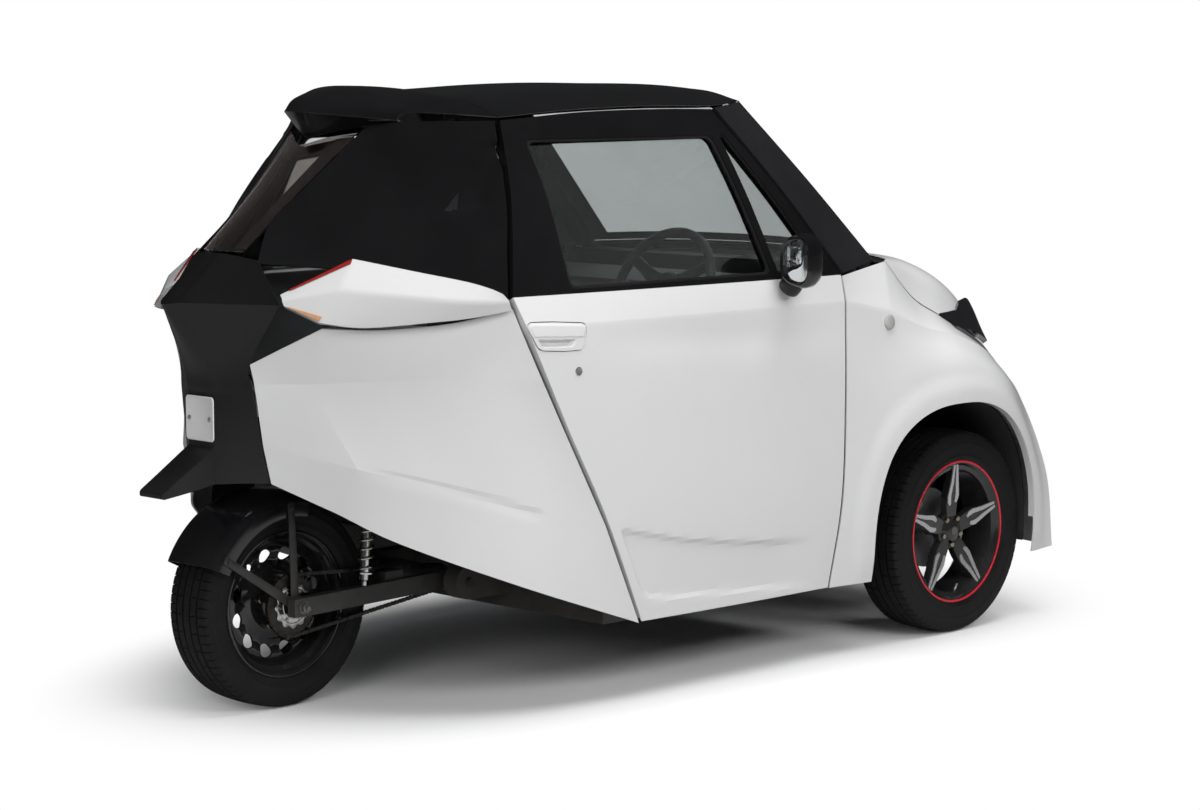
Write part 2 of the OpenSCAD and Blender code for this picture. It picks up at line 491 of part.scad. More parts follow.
// ---- rear wheel ----
module at_rear() translate([rear_x, 0, rear_r]) rotate([90, 0, 0]) children();
module swing_arm() color("dimgray") {
    y = arm_span / 2;
    difference() {
        union() {
            for (s = [-1, 1]) {
                hull() {
                    translate([rear_x - 30, s * y - 14, rear_r - arm_h / 2]) cube([30, 28, arm_h]);
                    translate([-610 * kx, s * y - 14, floor_z + 86 - arm_h / 2]) cube([30, 28, arm_h]);
                }
            }
            translate([-590 * kx, -y - 14, floor_z + 86]) rotate([-90, 0, 0]) cylinder(h = 2 * y + 28, d = 60);
            translate([-800 * kx, -y, 280]) cube([60, 2 * y, 40]);
        }
        translate([rear_x, -200, rear_r]) rotate([-90, 0, 0]) cylinder(h = 400, d = axle_d);
        translate([-590 * kx, -200, floor_z + 86]) rotate([-90, 0, 0]) cylinder(h = 400, d = 24);
    }
    translate([rear_x, -y - 26, rear_r]) rotate([-90, 0, 0]) cylinder(h = 2 * y + 52, d = axle_d - 0.4);
    translate([-590 * kx, -225, floor_z + 86]) rotate([-90, 0, 0]) cylinder(h = 450, d = 23.6);
}
module rear_shock() color("goldenrod") pair() {
    low = [-880 * kx, -arm_span / 2 - 5, rear_r + arm_h / 2 + 6.8];
    top = [-850 * kx, -arm_span / 2 - 5, 640 * kz - 1.2];
    bar(low, top, 18);
    bar(low + (top - low) * 0.12, low + (top - low) * 0.72, spring_d);
}
module rear_mudguard() color("black") {
    at_rear() rotate([0, 0, 78]) rotate_extrude(angle = 76, $fn = 96)
        translate([rear_r + 18, -guard_w / 2]) square([4, guard_w]);
    // flat stays from the guard to the axle
    for (s = [0, 1]) mirror([0, s, 0]) at_rear() translate([0, 0, guard_w / 2 + 0.4]) linear_extrude(4)
        difference() {
            union() {
                for (a = [92, 147]) rotate(a) translate([0, -11]) square([rear_r + 21, 22]);
                circle(d = 44);
            }
            circle(d = axle_d);
        }
}
module rear_rim() color("black") {
    translate([rear_x, 0, rear_r]) barrel(rear_rim_d / 2, 5);
    at_rear() difference() {
        union() {
            translate([0, 0, 20]) cylinder(h = 6, r = rear_rim_d / 2 - 12);
            translate([0, 0, -60]) cylinder(h = 146, d = 90);
            translate([0, 0, 80]) cylinder(h = 14, d = 59.4);
        }
        translate([0, 0, -100]) cylinder(h = 200, d = axle_d + 1);
        for (k = [0:11]) rotate([0, 0, 30 * k]) translate([rear_rim_d / 2 - 55, 0, 0]) cylinder(h = 60, d = 34);
    }
}
module rear_tyre() color("black") translate([rear_x, 0, rear_r]) tyre(rear_r, rear_rim_d / 2);
module sprocket() color("silver") at_rear() difference() {
    translate([0, 0, 86.3]) cylinder(h = 7.7, r = sprocket_r - 0.5);
    translate([0, 0, 80]) cylinder(h = 20, d = 60);
}
module chain() color("gray") translate([0, -85, 0]) rotate([90, 0, 0]) difference() {
    union() {
        linear_extrude(10) difference() {
            chain_loop(5);
            chain_loop(-5);
        }
        translate([-590 * kx, floor_z + 86]) cylinder(h = 10, r = 34);
    }
    translate([-590 * kx, floor_z + 86, -1]) cylinder(h = 12, d = 60.6);
}
module chain_loop(d) hull() {
    translate([rear_x, rear_r]) circle(r = sprocket_r + 10 + d);
    translate([-590 * kx, floor_z + 86]) circle(r = 38 + d);
}

floor_pan();
body_frame();
roof();
rear_spoiler();
windscreen();
cowl_panel();
bonnet();
nose_panel();
grille();
headlamps();
front_wings();
door_right();
door_left();
door_glass_right();
door_glass_left();
mirror_right();
mirror_left();
quarter_panels();
lamp_pods();
tail_lamps();
rear_pillars();
rear_glass();
tail_panel();
number_plate();
dashboard();
steering_wheel();
seats();
engine();
front_arms();
knuckle_right();
knuckle_left();
front_rim_right();
front_rim_left();
front_tyre_right();
front_tyre_left();
swing_arm();
rear_shock();
rear_mudguard();
rear_rim();
rear_tyre();
sprocket();
chain();
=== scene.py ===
import json
import math

import bmesh
import bpy
import numpy as np
from mathutils import Matrix, Vector

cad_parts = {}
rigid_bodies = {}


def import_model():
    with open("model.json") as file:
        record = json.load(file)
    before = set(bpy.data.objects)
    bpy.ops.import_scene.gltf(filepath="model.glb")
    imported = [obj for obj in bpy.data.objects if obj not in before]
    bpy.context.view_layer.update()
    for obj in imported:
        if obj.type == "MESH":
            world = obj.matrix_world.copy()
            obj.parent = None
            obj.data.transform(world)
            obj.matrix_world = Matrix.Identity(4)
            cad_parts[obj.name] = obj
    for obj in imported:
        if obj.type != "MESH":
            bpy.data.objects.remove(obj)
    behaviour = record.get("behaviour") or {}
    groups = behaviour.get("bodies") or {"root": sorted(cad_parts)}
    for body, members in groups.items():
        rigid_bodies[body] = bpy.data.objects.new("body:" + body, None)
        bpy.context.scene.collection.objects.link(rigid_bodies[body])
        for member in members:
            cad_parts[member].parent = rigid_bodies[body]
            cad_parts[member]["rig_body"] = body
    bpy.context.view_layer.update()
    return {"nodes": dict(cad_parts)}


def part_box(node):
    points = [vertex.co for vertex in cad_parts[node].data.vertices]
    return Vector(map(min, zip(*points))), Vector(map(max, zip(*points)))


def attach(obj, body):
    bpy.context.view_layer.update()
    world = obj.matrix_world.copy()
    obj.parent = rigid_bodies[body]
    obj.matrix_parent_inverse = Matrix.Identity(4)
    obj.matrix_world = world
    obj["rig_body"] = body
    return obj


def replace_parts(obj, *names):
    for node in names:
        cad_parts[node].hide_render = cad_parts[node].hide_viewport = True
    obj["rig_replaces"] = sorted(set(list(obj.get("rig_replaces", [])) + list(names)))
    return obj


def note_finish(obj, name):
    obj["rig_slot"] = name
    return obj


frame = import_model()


# ---- Camera, floor and lamps ----
# The car stands on a pale studio floor under a large soft roof lamp.
# The camera looks at it from behind and from its right, a little above it.
def place_camera():
    yaw, pitch = 0.79, 0.117
    forward = Vector((math.sin(yaw) * math.cos(pitch), math.cos(yaw) * math.cos(pitch), -math.sin(pitch)))
    right = Vector((math.cos(yaw), -math.sin(yaw), 0))
    turn = Matrix((right, right.cross(forward), -forward)).transposed()
    camera = bpy.data.objects.new("camera", bpy.data.cameras.new("camera"))
    camera.matrix_world = Matrix.Translation((-5.873, -5.933, 1.66)) @ turn.to_4x4()
    camera.data.sensor_width = 36
    camera.data.lens = 90.3
    camera.data.clip_end = 200
    bpy.context.scene.collection.objects.link(camera)
    bpy.context.scene.camera = camera


def lamp(name, at, towards, size, power, mirrored=True):
    data = bpy.data.lights.new(name, "AREA")
    data.shape = "RECTANGLE"
    data.size, data.size_y = size
    data.energy = power
    light = bpy.data.objects.new(name, data)
    light.location = at
    light.rotation_euler = (Vector(towards) - Vector(at)).to_track_quat("-Z", "Y").to_euler()
    light.visible_glossy = mirrored
    bpy.context.scene.collection.objects.link(light)


def nodes_of(name):
    mat = bpy.data.materials.new(name)
    mat.use_nodes = True
    tree = mat.node_tree
    return mat, tree, tree.nodes["Principled BSDF"]


def seen_directly(tree):
    # 1 for the camera and through glass, 0 for light that falls on the car
    path = tree.nodes.new("ShaderNodeLightPath")
    total = tree.nodes.new("ShaderNodeMath")
    total.operation = "ADD"
    total.use_clamp = True
    tree.links.new(path.outputs["Is Camera Ray"], total.inputs[0])
    tree.links.new(path.outputs["Is Transmission Ray"], total.inputs[1])
    return total.outputs[0]


def make_world():
    world = bpy.data.worlds.new("studio")
    bpy.context.scene.world = world
    world.use_nodes = True
    tree = world.node_tree
    ambient = tree.nodes["Background"]
    ambient.inputs["Color"].default_value = (0.93, 0.96, 1, 1)
    # polished black paint sees a darker room than the one that lights the car
    path = tree.nodes.new("ShaderNodeLightPath")
    room = tree.nodes.new("ShaderNodeMapRange")
    room.inputs["To Min"].default_value = 0.12
    room.inputs["To Max"].default_value = 0.02
    tree.links.new(path.outputs["Is Glossy Ray"], room.inputs["Value"])
    tree.links.new(room.outputs["Result"], ambient.inputs["Strength"])
    white = tree.nodes.new("ShaderNodeBackground")
    white.inputs["Color"].default_value = (1, 1, 1, 1)
    white.inputs["Strength"].default_value = 1
    mix = tree.nodes.new("ShaderNodeMixShader")
    tree.links.new(seen_directly(tree), mix.inputs["Fac"])
    tree.links.new(ambient.outputs[0], mix.inputs[1])
    tree.links.new(white.outputs[0], mix.inputs[2])
    tree.links.new(mix.outputs[0], tree.nodes["World Output"].inputs["Surface"])


def make_floor():
    bpy.ops.mesh.primitive_circle_add(vertices=96, radius=60, fill_type="NGON", location=(0, 0, -0.0005))
    floor = bpy.context.object
    floor.name = "floor"
    mat, tree, shader = nodes_of("studio_floor")
    # the floor is kept from throwing its full light back under the sills
    tone = tree.nodes.new("ShaderNodeMix")
    tone.data_type = "RGBA"
    tone.inputs["A"].default_value = (0.40, 0.40, 0.40, 1)
    tone.inputs["B"].default_value = (0.86, 0.86, 0.86, 1)
    tree.links.new(seen_directly(tree), tone.inputs["Factor"])
    tree.links.new(tone.outputs["Result"], shader.inputs["Base Color"])
    shader.inputs["Roughness"].default_value = 0.7
    shader.inputs["Specular IOR Level"].default_value = 0.2
    # away from the car the floor fades into the white wall
    place = tree.nodes.new("ShaderNodeTexCoord")
    middle = tree.nodes.new("ShaderNodeVectorMath")
    middle.operation = "SUBTRACT"
    middle.inputs[1].default_value = (0.14, -0.05, 0)
    tree.links.new(place.outputs["Object"], middle.inputs[0])
    oval = tree.nodes.new("ShaderNodeVectorMath")
    oval.operation = "DIVIDE"
    oval.inputs[1].default_value = (1.5, 0.95, 1)
    tree.links.new(middle.outputs[0], oval.inputs[0])
    length = tree.nodes.new("ShaderNodeVectorMath")
    length.operation = "LENGTH"
    tree.links.new(oval.outputs[0], length.inputs[0])
    fade = tree.nodes.new("ShaderNodeMapRange")
    fade.interpolation_type = "SMOOTHSTEP"
    fade.inputs["From Min"].default_value = 0.74
    fade.inputs["From Max"].default_value = 1.26
    tree.links.new(length.outputs["Value"], fade.inputs["Value"])
    white = tree.nodes.new("ShaderNodeEmission")
    white.inputs["Strength"].default_value = 1
    amount = tree.nodes.new("ShaderNodeMath")
    amount.operation = "MULTIPLY"
    tree.links.new(fade.outputs["Result"], amount.inputs[0])
    tree.links.new(seen_directly(tree), amount.inputs[1])
    mix = tree.nodes.new("ShaderNodeMixShader")
    tree.links.new(amount.outputs[0], mix.inputs["Fac"])
    tree.links.new(shader.outputs[0], mix.inputs[1])
    tree.links.new(white.outputs[0], mix.inputs[2])
    tree.links.new(mix.outputs[0], tree.nodes["Material Output"].inputs["Surface"])
    floor.data.materials.append(mat)


bpy.context.scene.view_settings.view_transform = "Standard"
place_camera()
make_world()
make_floor()
lamp("roof_lamp", (-0.4, -0.9, 4.4), (0, 0, 0.4), (3.4, 2.8), 175, mirrored=False)
lamp("rear_lamp", (-5.2, -2.6, 2.6), (-0.6, 0, 0.7), (2.4, 2.0), 92, mirrored=False)
lamp("side_lamp", (-0.8, -5.2, 3.2), (0, 0, 0.7), (3.4, 1.6), 158, mirrored=False)
lamp("front_lamp", (4.6, -1.4, 3.8), (0.6, 0, 0.6), (2.4, 2.0), 70, mirrored=False)


# ---- Surface finishes shared by the pieces below ----
# Each finish is mixed from noise at the scale of the real coating: dust and
# colour drift over a hand's width, orange peel or grain at a few millimetres.
def finish(name, colour, rough, drift=0.06, drift_scale=3.0, grain=0.0, grain_scale=600.0, rough_drift=0.05,
           dust=0.0, dust_top=0.5, dust_colour=(0.42, 0.39, 0.35), **fixed):
    mat, tree, shader = nodes_of(name)
    place = tree.nodes.new("ShaderNodeTexCoord").outputs["Object"]
    cloud = tree.nodes.new("ShaderNodeTexNoise")
    cloud.inputs["Scale"].default_value = drift_scale
    cloud.inputs["Detail"].default_value = 6
    cloud.inputs["Roughness"].default_value = 0.6
    tree.links.new(place, cloud.inputs["Vector"])
    shade = tree.nodes.new("ShaderNodeValToRGB")
    low, high = shade.color_ramp.elements
    low.position, high.position = 0.3, 0.7
    low.color = (*[c * (1 - drift) for c in colour], 1)
    high.color = (*[min(1, c * (1 + drift)) for c in colour], 1)
    tree.links.new(cloud.outputs["Fac"], shade.inputs["Fac"])
    out = shade.outputs["Color"]
    if dust:
        height = tree.nodes.new("ShaderNodeSeparateXYZ")
        tree.links.new(place, height.inputs[0])
        band = tree.nodes.new("ShaderNodeMapRange")
        band.inputs["From Min"].default_value = 0.05
        band.inputs["From Max"].default_value = dust_top
        band.inputs["To Min"].default_value = dust
        band.inputs["To Max"].default_value = 0
        tree.links.new(height.outputs["Z"], band.inputs["Value"])
        speck = tree.nodes.new("ShaderNodeMath")
        speck.operation = "MULTIPLY"
        tree.links.new(band.outputs["Result"], speck.inputs[0])
        tree.links.new(cloud.outputs["Fac"], speck.inputs[1])
        mix = tree.nodes.new("ShaderNodeMix")
        mix.data_type = "RGBA"
        tree.links.new(speck.outputs[0], mix.inputs["Factor"])
        tree.links.new(out, mix.inputs["A"])
        mix.inputs["B"].default_value = (*dust_colour, 1)
        out = mix.outputs["Result"]
    tree.links.new(out, shader.inputs["Base Color"])
    matt = tree.nodes.new("ShaderNodeMapRange")
    matt.inputs["From Min"].default_value = 0.3
    matt.inputs["From Max"].default_value = 0.7
    matt.inputs["To Min"].default_value = max(0.02, rough - rough_drift)
    matt.inputs["To Max"].default_value = min(1, rough + rough_drift)
    tree.links.new(cloud.outputs["Fac"], matt.inputs["Value"])
    tree.links.new(matt.outputs["Result"], shader.inputs["Roughness"])
    if grain:
        peel = tree.nodes.new("ShaderNodeTexNoise")
        peel.inputs["Scale"].default_value = grain_scale
        peel.inputs["Detail"].default_value = 2
        tree.links.new(place, peel.inputs["Vector"])
        bump = tree.nodes.new("ShaderNodeBump")
        bump.inputs["Strength"].default_value = grain
        bump.inputs["Distance"].default_value = 0.001
        tree.links.new(peel.outputs["Fac"], bump.inputs["Height"])
        tree.links.new(bump.outputs["Normal"], shader.inputs["Normal"])
    for socket, value in fixed.items():
        shader.inputs[socket.replace("_", " ")].default_value = value
    return mat


pearl_white = finish("pearl_white_paint", (0.66, 0.66, 0.658), 0.34, drift=0.012, rough_drift=0.04, grain=0.05,
                     grain_scale=900, dust=0.10, dust_top=0.45, Coat_Weight=0.6, Coat_Roughness=0.12)
gloss_black = finish("gloss_black_paint", (0.006, 0.006, 0.0065), 0.16, drift=0.25, rough_drift=0.04,
                     grain=0.04,
                     grain_scale=700, Coat_Weight=0.7, Coat_Roughness=0.05)
satin_black = finish("satin_black_paint", (0.007, 0.007, 0.0075), 0.42, drift=0.3, rough_drift=0.08, grain=0.12,
                     grain_scale=900, dust=0.12, dust_top=0.8)
moulded_black = finish("moulded_black_plastic", (0.011, 0.011, 0.0115), 0.55, drift=0.25, grain=0.5,
                       grain_scale=1400)
rubber = finish("tyre_rubber", (0.0055, 0.0055, 0.006), 0.62, drift=0.35, drift_scale=9, rough_drift=0.1,
                grain=0.35,
                grain_scale=1600, dust=0.035, dust_top=0.6, Specular_IOR_Level=0.3)
bare_silver = finish("machined_silver", (0.72, 0.72, 0.73), 0.28, drift=0.06, drift_scale=20, grain=0.1,
                     grain_scale=1200, Metallic=0.9)


def set_finish(material, *node_names):
    for node_name in node_names:
        mesh = frame["nodes"][node_name].data
        mesh.materials.clear()
        mesh.materials.append(material)


# ---- Rear body: quarter panels ----
# The quarter panels are large faceted mouldings painted pearl white. They are
# screwed to the ribs behind them, and a crease is pressed into each.
MM = 0.001


def half(rows):
    # points in millimetres as [forward, half width, up], on the right hand side
    return [[np.array((x, -w, z)) * MM for x, w, z in row] for row in rows]


def full(rows):
    # a right hand half continued to the left
    return half([row + [(x, -w, z) for x, w, z in row[-2::-1]] for row in rows])


def strand(knots, t, corners):
    # a smooth curve through the knots, with a corner at each index in corners
    stack = np.stack([np.broadcast_to(knot, t.shape + (3,)) for knot in knots])
    last = len(knots) - 1
    i = np.clip(np.floor(t).astype(int), 0, last - 1)
    f = (t - i)[..., None]

    def at(k):
        return np.take_along_axis(stack, np.clip(k, 0, last)[None, ..., None], 0)[0]

    a, b = at(i), at(i + 1)
    starts = ((i == 0) | np.isin(i, corners))[..., None]
    ends = ((i + 1 == last) | np.isin(i + 1, corners))[..., None]
    z = np.where(starts, 2 * a - b, at(i - 1))
    c = np.where(ends, 2 * b - a, at(i + 2))
    return 0.5 * (2 * a + (b - z) * f + (2 * z - 5 * a + 4 * b - c) * f**2 + (3 * a - z - 3 * b + c) * f**3)


def surface(grid, u, v, rows=(), columns=()):
    # rows and columns are the sharp lines of the grid
    return strand([strand(row, v, list(columns)) for row in grid], u, list(rows))


def outward(grid, u, v, rows=(), columns=(), h=0.02):
    m, n = len(grid) - 1, len(grid[0]) - 1
    down = surface(grid, np.minimum(u + h, m), v, rows, columns) - surface(grid, np.maximum(u - h, 0), v, rows,
                                                                           columns)
    along = surface(grid, u, np.minimum(v + h, n), rows, columns) - surface(grid, u, np.maximum(v - h, 0),
                                                                            rows, columns)
    normal = np.cross(down, along)
    return normal / np.maximum(np.linalg.norm(normal, axis=-1, keepdims=True), 1e-9)


def stations(count, part, step, length):
    # parameters along one side of a grid: even steps that include the grid's own lines
    low, high = part[0] * count, part[1] * count
    knots = sorted({low, high} | {k for k in range(count + 1) if low < k < high})
    out = [low]
    for a, b in zip(knots, knots[1:]):
        pieces = max(1, round(length * (b - a) / count / step))
        out += [a + (b - a) * (k + 1) / pieces for k in range(pieces)]
    return np.array(out)


def skin(grid, step=0.012, rows=(), columns=(), gaps=(1, 1, 1, 1), part=(0, 1, 0, 1), depth=0.0):
    # points of a panel that keeps half a shut line from its edges: top, bottom, rear and front
    m, n = len(grid) - 1, len(grid[0]) - 1
    middle = [surface(grid, np.linspace(0, m, 40), np.full(40, n * s), rows, columns) for s in (0.1, 0.5, 0.9)]
    down = max(np.linalg.norm(np.diff(line, axis=0), axis=1).sum() for line in middle)
    middle = [surface(grid, np.full(40, m * s), np.linspace(0, n, 40), rows, columns) for s in (0.1, 0.5, 0.9)]
    across = max(np.linalg.norm(np.diff(line, axis=0), axis=1).sum() for line in middle)
    u, v = np.meshgrid(stations(m, part[:2], step, down), stations(n, part[2:], step, across), indexing="ij")
    gap = 0.003

    def span(u0, v0, u1, v1):
        return np.linalg.norm(surface(grid, u1, v1) - surface(grid, u0, v0), axis=-1) * 10

    top = gaps[0] * gap / span(0 * v, v, 0 * v + 0.1, v)
    low = gaps[1] * gap / span(0 * v + m, v, 0 * v + m - 0.1, v)
    rear = gaps[2] * gap / span(u, 0 * u, u, 0 * u + 0.1)
    front = gaps[3] * gap / span(u, 0 * u + n, u, 0 * u + n - 0.1)
    u, v = np.clip(u, top, m - low), np.clip(v, rear, n - front)
    return surface(grid, u, v, rows, columns) - outward(grid, u, v, rows, columns) * depth


def faces_of(points):
    rows, columns = points.shape[:2]
    quads = [[i * columns + j, (i + 1) * columns + j, (i + 1) * columns + j + 1, i * columns + j + 1]
             for i in range(rows - 1) for j in range(columns - 1)]
    return [Vector(p) for p in points.reshape(-1, 3)], quads


def side_of(polygon, x, z):
    # distance in side view to a closed outline, positive inside it
    best, inside = 1e9, False
    for (ax, az), (bx, bz) in zip(polygon, polygon[1:] + polygon[:1]):
        dx, dz = bx - ax, bz - az
        t = max(0, min(1, ((x - ax) * dx + (z - az) * dz) / (dx * dx + dz * dz + 1e-12)))
        best = min(best, math.hypot(x - ax - t * dx, z - az - t * dz))
        if (az > z) != (bz > z) and x < ax + (z - az) / (bz - az) * (bx - ax):
            inside = not inside
    return best if inside else -best


def trimmed(verts, quads, outline, keep_inside):
    # cuts the skin along an outline that is drawn in side view, in metres
    verts = list(verts)
    signed = [side_of(outline, v.x, v.z) * (1 if keep_inside else -1) for v in verts]
    made = {}

    def crossing(a, b):
        key = (min(a, b), max(a, b))
        if key not in made:
            low, high = 0.0, 1.0
            for _ in range(14):
                mid = (low + high) / 2
                p = verts[key[0]].lerp(verts[key[1]], mid)
                s = side_of(outline, p.x, p.z) * (1 if keep_inside else -1)
                if (s > 0) == (signed[key[0]] > 0):
                    low = mid
                else:
                    high = mid
            verts.append(verts[key[0]].lerp(verts[key[1]], (low + high) / 2))
            signed.append(0)
            made[key] = len(verts) - 1
        return made[key]

    out = []
    for quad in quads:
        kept = [signed[k] > 0 for k in quad]
        if all(kept):
            out.append(quad)
            continue
        if not any(kept):
            continue
        ring = []
        for a, b in zip(quad, quad[1:] + quad[:1]):
            if signed[a] > 0:
                ring.append(a)
            if (signed[a] > 0) != (signed[b] > 0):
                ring.append(crossing(a, b))
        if len(ring) > 2:
            out.append(ring)
    used = sorted({k for ring in out for k in ring})
    number = {k: i for i, k in enumerate(used)}
    return [verts[k] for k in used], [[number[k] for k in ring] for ring in out]


def piece(name, verts, quads, material, body, mirror=False, smooth=True):
    mesh = bpy.data.meshes.new(name)
    mesh.from_pydata([tuple(v) for v in verts], [], quads)
    work = bmesh.new()
    work.from_mesh(mesh)
    bmesh.ops.remove_doubles(work, verts=work.verts, dist=2e-5)
    bmesh.ops.dissolve_degenerate(work, edges=work.edges, dist=1e-5)
    work.to_mesh(mesh)
    work.free()
    mesh.polygons.foreach_set("use_smooth", [smooth] * len(mesh.polygons))
    mesh.materials.append(material)
    obj = bpy.data.objects.new(name, mesh)
    bpy.context.scene.collection.objects.link(obj)
    if mirror:
        other = obj.modifiers.new("other_side", "MIRROR")
        other.use_axis = (False, True, False)
        other.use_mirror_merge = False
    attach(obj, body)
    return obj


def thicken(obj, thick, edge=0.0015, sharpest=24.0):
    wall = obj.modifiers.new("wall", "SOLIDIFY")
    wall.thickness = thick
    wall.offset = -1
    wall.use_even_offset = True
    wall.thickness_clamp = 0
    round_edge = obj.modifiers.new("edge", "BEVEL")
    round_edge.width = edge
    round_edge.segments = 2
    round_edge.limit_method = "ANGLE"
    round_edge.angle_limit = math.radians(sharpest)
    round_edge.harden_normals = True
    return obj


def other_side(obj, name, body):
    # the left hand twin of a right hand piece
    twin = obj.copy()
    twin.data = obj.data.copy()
    twin.name = twin.data.name = name
    twin.data.transform(Matrix.Diagonal((1, -1, 1, 1)))
    twin.data.flip_normals()
    bpy.context.scene.collection.objects.link(twin)
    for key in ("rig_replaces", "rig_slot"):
        if key in twin:
            del twin[key]
    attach(twin, body)
    return twin


def to_line(line, x, z):
    # distance in side view to an open line, and how far along it, from 0 to 1
    best, where, gone = 1e9, 0, 0
    total = sum(math.hypot(b[0] - a[0], b[1] - a[1]) for a, b in zip(line, line[1:]))
    for a, b in zip(line, line[1:]):
        dx, dz = b[0] - a[0], b[1] - a[1]
        span = math.hypot(dx, dz)
        t = max(0, min(1, ((x - a[0]) * dx + (z - a[1]) * dz) / span**2))
        far = math.hypot(x - a[0] - t * dx, z - a[1] - t * dz)
        if far < best:
            best, where = far, (gone + t * span) / total
        gone += span
    return best, where


def step_up(x):
    x = max(0.0, min(1.0, x))
    return x * x * (3 - 2 * x)


quarter_lines = half([
    [(-1252, 140, 895), (-1160, 308, 988), (-1050, 405, 985), (-925, 515, 1000), (-808, 624, 1036)],
    [(-1243, 145, 846), (-1150, 245, 846), (-1010, 400, 855), (-870, 540, 860), (-727, 642, 860)],
    [(-1225, 155, 690), (-1085, 350, 638), (-945, 480, 590), (-760, 590, 530), (-513, 651, 468)],
    [(-1209, 165, 597), (-1105, 290, 525), (-1003, 415, 450), (-760, 595, 335), (-388, 648, 199)]])
crease = [(-1.101, 0.646), (-0.945, 0.598), (-0.683, 0.505)]


def press_crease(p):
    far, share = to_line(crease, p[0], p[2])
    fade = step_up(share / 0.25) * step_up((1 - share) / 0.12)
    if 0 < share < 1 and far < 0.03:
        above = p[2] > np.interp(p[0], [c[0] for c in crease], [c[1] for c in crease])
        step = 0.0052 * step_up(1 - far / 0.030) if not above else 0.0052 * step_up(1 - far / 0.013)
        p[1] += step * fade
    return p


points = skin(quarter_lines, 0.011, rows=(1, 2), columns=(1,), gaps=(0.5, 0, 0.6, 2.8))
points = np.apply_along_axis(press_crease, 2, points)
quarters = thicken(piece("quarter_skins", *faces_of(points), pearl_white, "body", mirror=True), 0.005, 0.0022,
                   9)
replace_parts(quarters, "quarter_panels")
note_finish(quarters, "white")


# ---- Tail: tail panel, lip and number plate ----
# A black moulding closes the body between the quarter panels. It has a level
# shoulder, a flat for the plate and a short lip under it that lights the plate.
def turned(grid):
    return [row[::-1] for row in grid]


tail_lines = turned(full([
    [(-1212, 132, 1150), (-1240, 70, 1162), (-1255, 38, 1166), (-1262, 0, 1166)],
    [(-1216, 222, 1044), (-1300, 130, 1047), (-1385, 37, 1050), (-1408, 0, 1046)],
    [(-1250, 142, 893), (-1282, 95, 893), (-1312, 50, 893), (-1316, 0, 893)],
    [(-1242, 147, 820), (-1270, 100, 820), (-1295, 50, 820), (-1296, 0, 820)],
    [(-1225, 154, 690), (-1262, 100, 690), (-1295, 50, 690), (-1296, 0, 690)],
    [(-1209, 165, 597), (-1250, 105, 595), (-1294, 50, 592), (-1296, 0, 592)]]))
points = skin(tail_lines, 0.008, rows=(1, 3, 4), columns=(2, 4), gaps=(0.5, 0, 0.6, 0.6))
tail = thicken(piece("tail_skin", *faces_of(points), satin_black, "body"), 0.005, 0.0015, 14)
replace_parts(tail, "tail_panel")
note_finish(tail, "black_plastic")


def loft(name, rings, material, body, closed=True, capped=True, smooth=True, mirror=False):
    # a skin over rings of points that all have the same count
    count = len(rings[0])
    verts = [Vector(p) for ring in rings for p in ring]
    quads = []
    for i in range(len(rings) - 1):
        for j in range(count if closed else count - 1):
            k = (j + 1) % count
            quads.append([i * count + j, i * count + k, (i + 1) * count + k, (i + 1) * count + j])
    if capped:
        quads.append(list(range(count))[::-1])
        quads.append([(len(rings) - 1) * count + j for j in range(count)])
    obj = piece(name, verts, quads, material, body, mirror=mirror, smooth=smooth)
    work = bmesh.new()
    work.from_mesh(obj.data)
    bmesh.ops.recalc_face_normals(work, faces=work.faces)
    work.to_mesh(obj.data)
    work.free()
    return obj


def rounded(obj, width, segments=2, sharpest=30.0):
    bevel = obj.modifiers.new("edge", "BEVEL")
    bevel.width = width
    bevel.segments = segments
    bevel.limit_method = "ANGLE"
    bevel.angle_limit = math.radians(sharpest)
    bevel.harden_normals = True
    return obj


def lip_ring(x, wide, low, high):
    return [(x, -wide, low), (x, wide, low), (x, wide, high), (x, -wide, high)]


lip = loft("plate_lip", [lip_ring(-1.290, 0.052, 0.592, 0.688), lip_ring(-1.330, 0.052, 0.585, 0.662),
                         lip_ring(-1.400, 0.050, 0.575, 0.617), lip_ring(-1.446, 0.049, 0.569, 0.588),
                         lip_ring(-1.4535, 0.046, 0.571, 0.583)], satin_black, "body", smooth=True)
rounded(lip, 0.003)
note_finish(lip, "black_plastic")

plate_white = finish("blank_plate_enamel", (0.78, 0.78, 0.77), 0.35, drift=0.02, grain=0.03, Coat_Weight=0.4)
low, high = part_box("number_plate")
plate_x, plate_y, plate_z = low.x, high.y, (low.z, high.z)


def rounded_box_ring(x, half_wide, low, high, radius, steps=5):
    ring = []
    for cy, cz, start in ((half_wide - radius, high - radius, 0), (-half_wide + radius, high - radius, 90),
                          (-half_wide + radius, low + radius, 180), (half_wide - radius, low + radius, 270)):
        for k in range(steps + 1):
            a = math.radians(start + 90 * k / steps)
            ring.append((x, cy + radius * math.cos(a), cz + radius * math.sin(a)))
    return ring


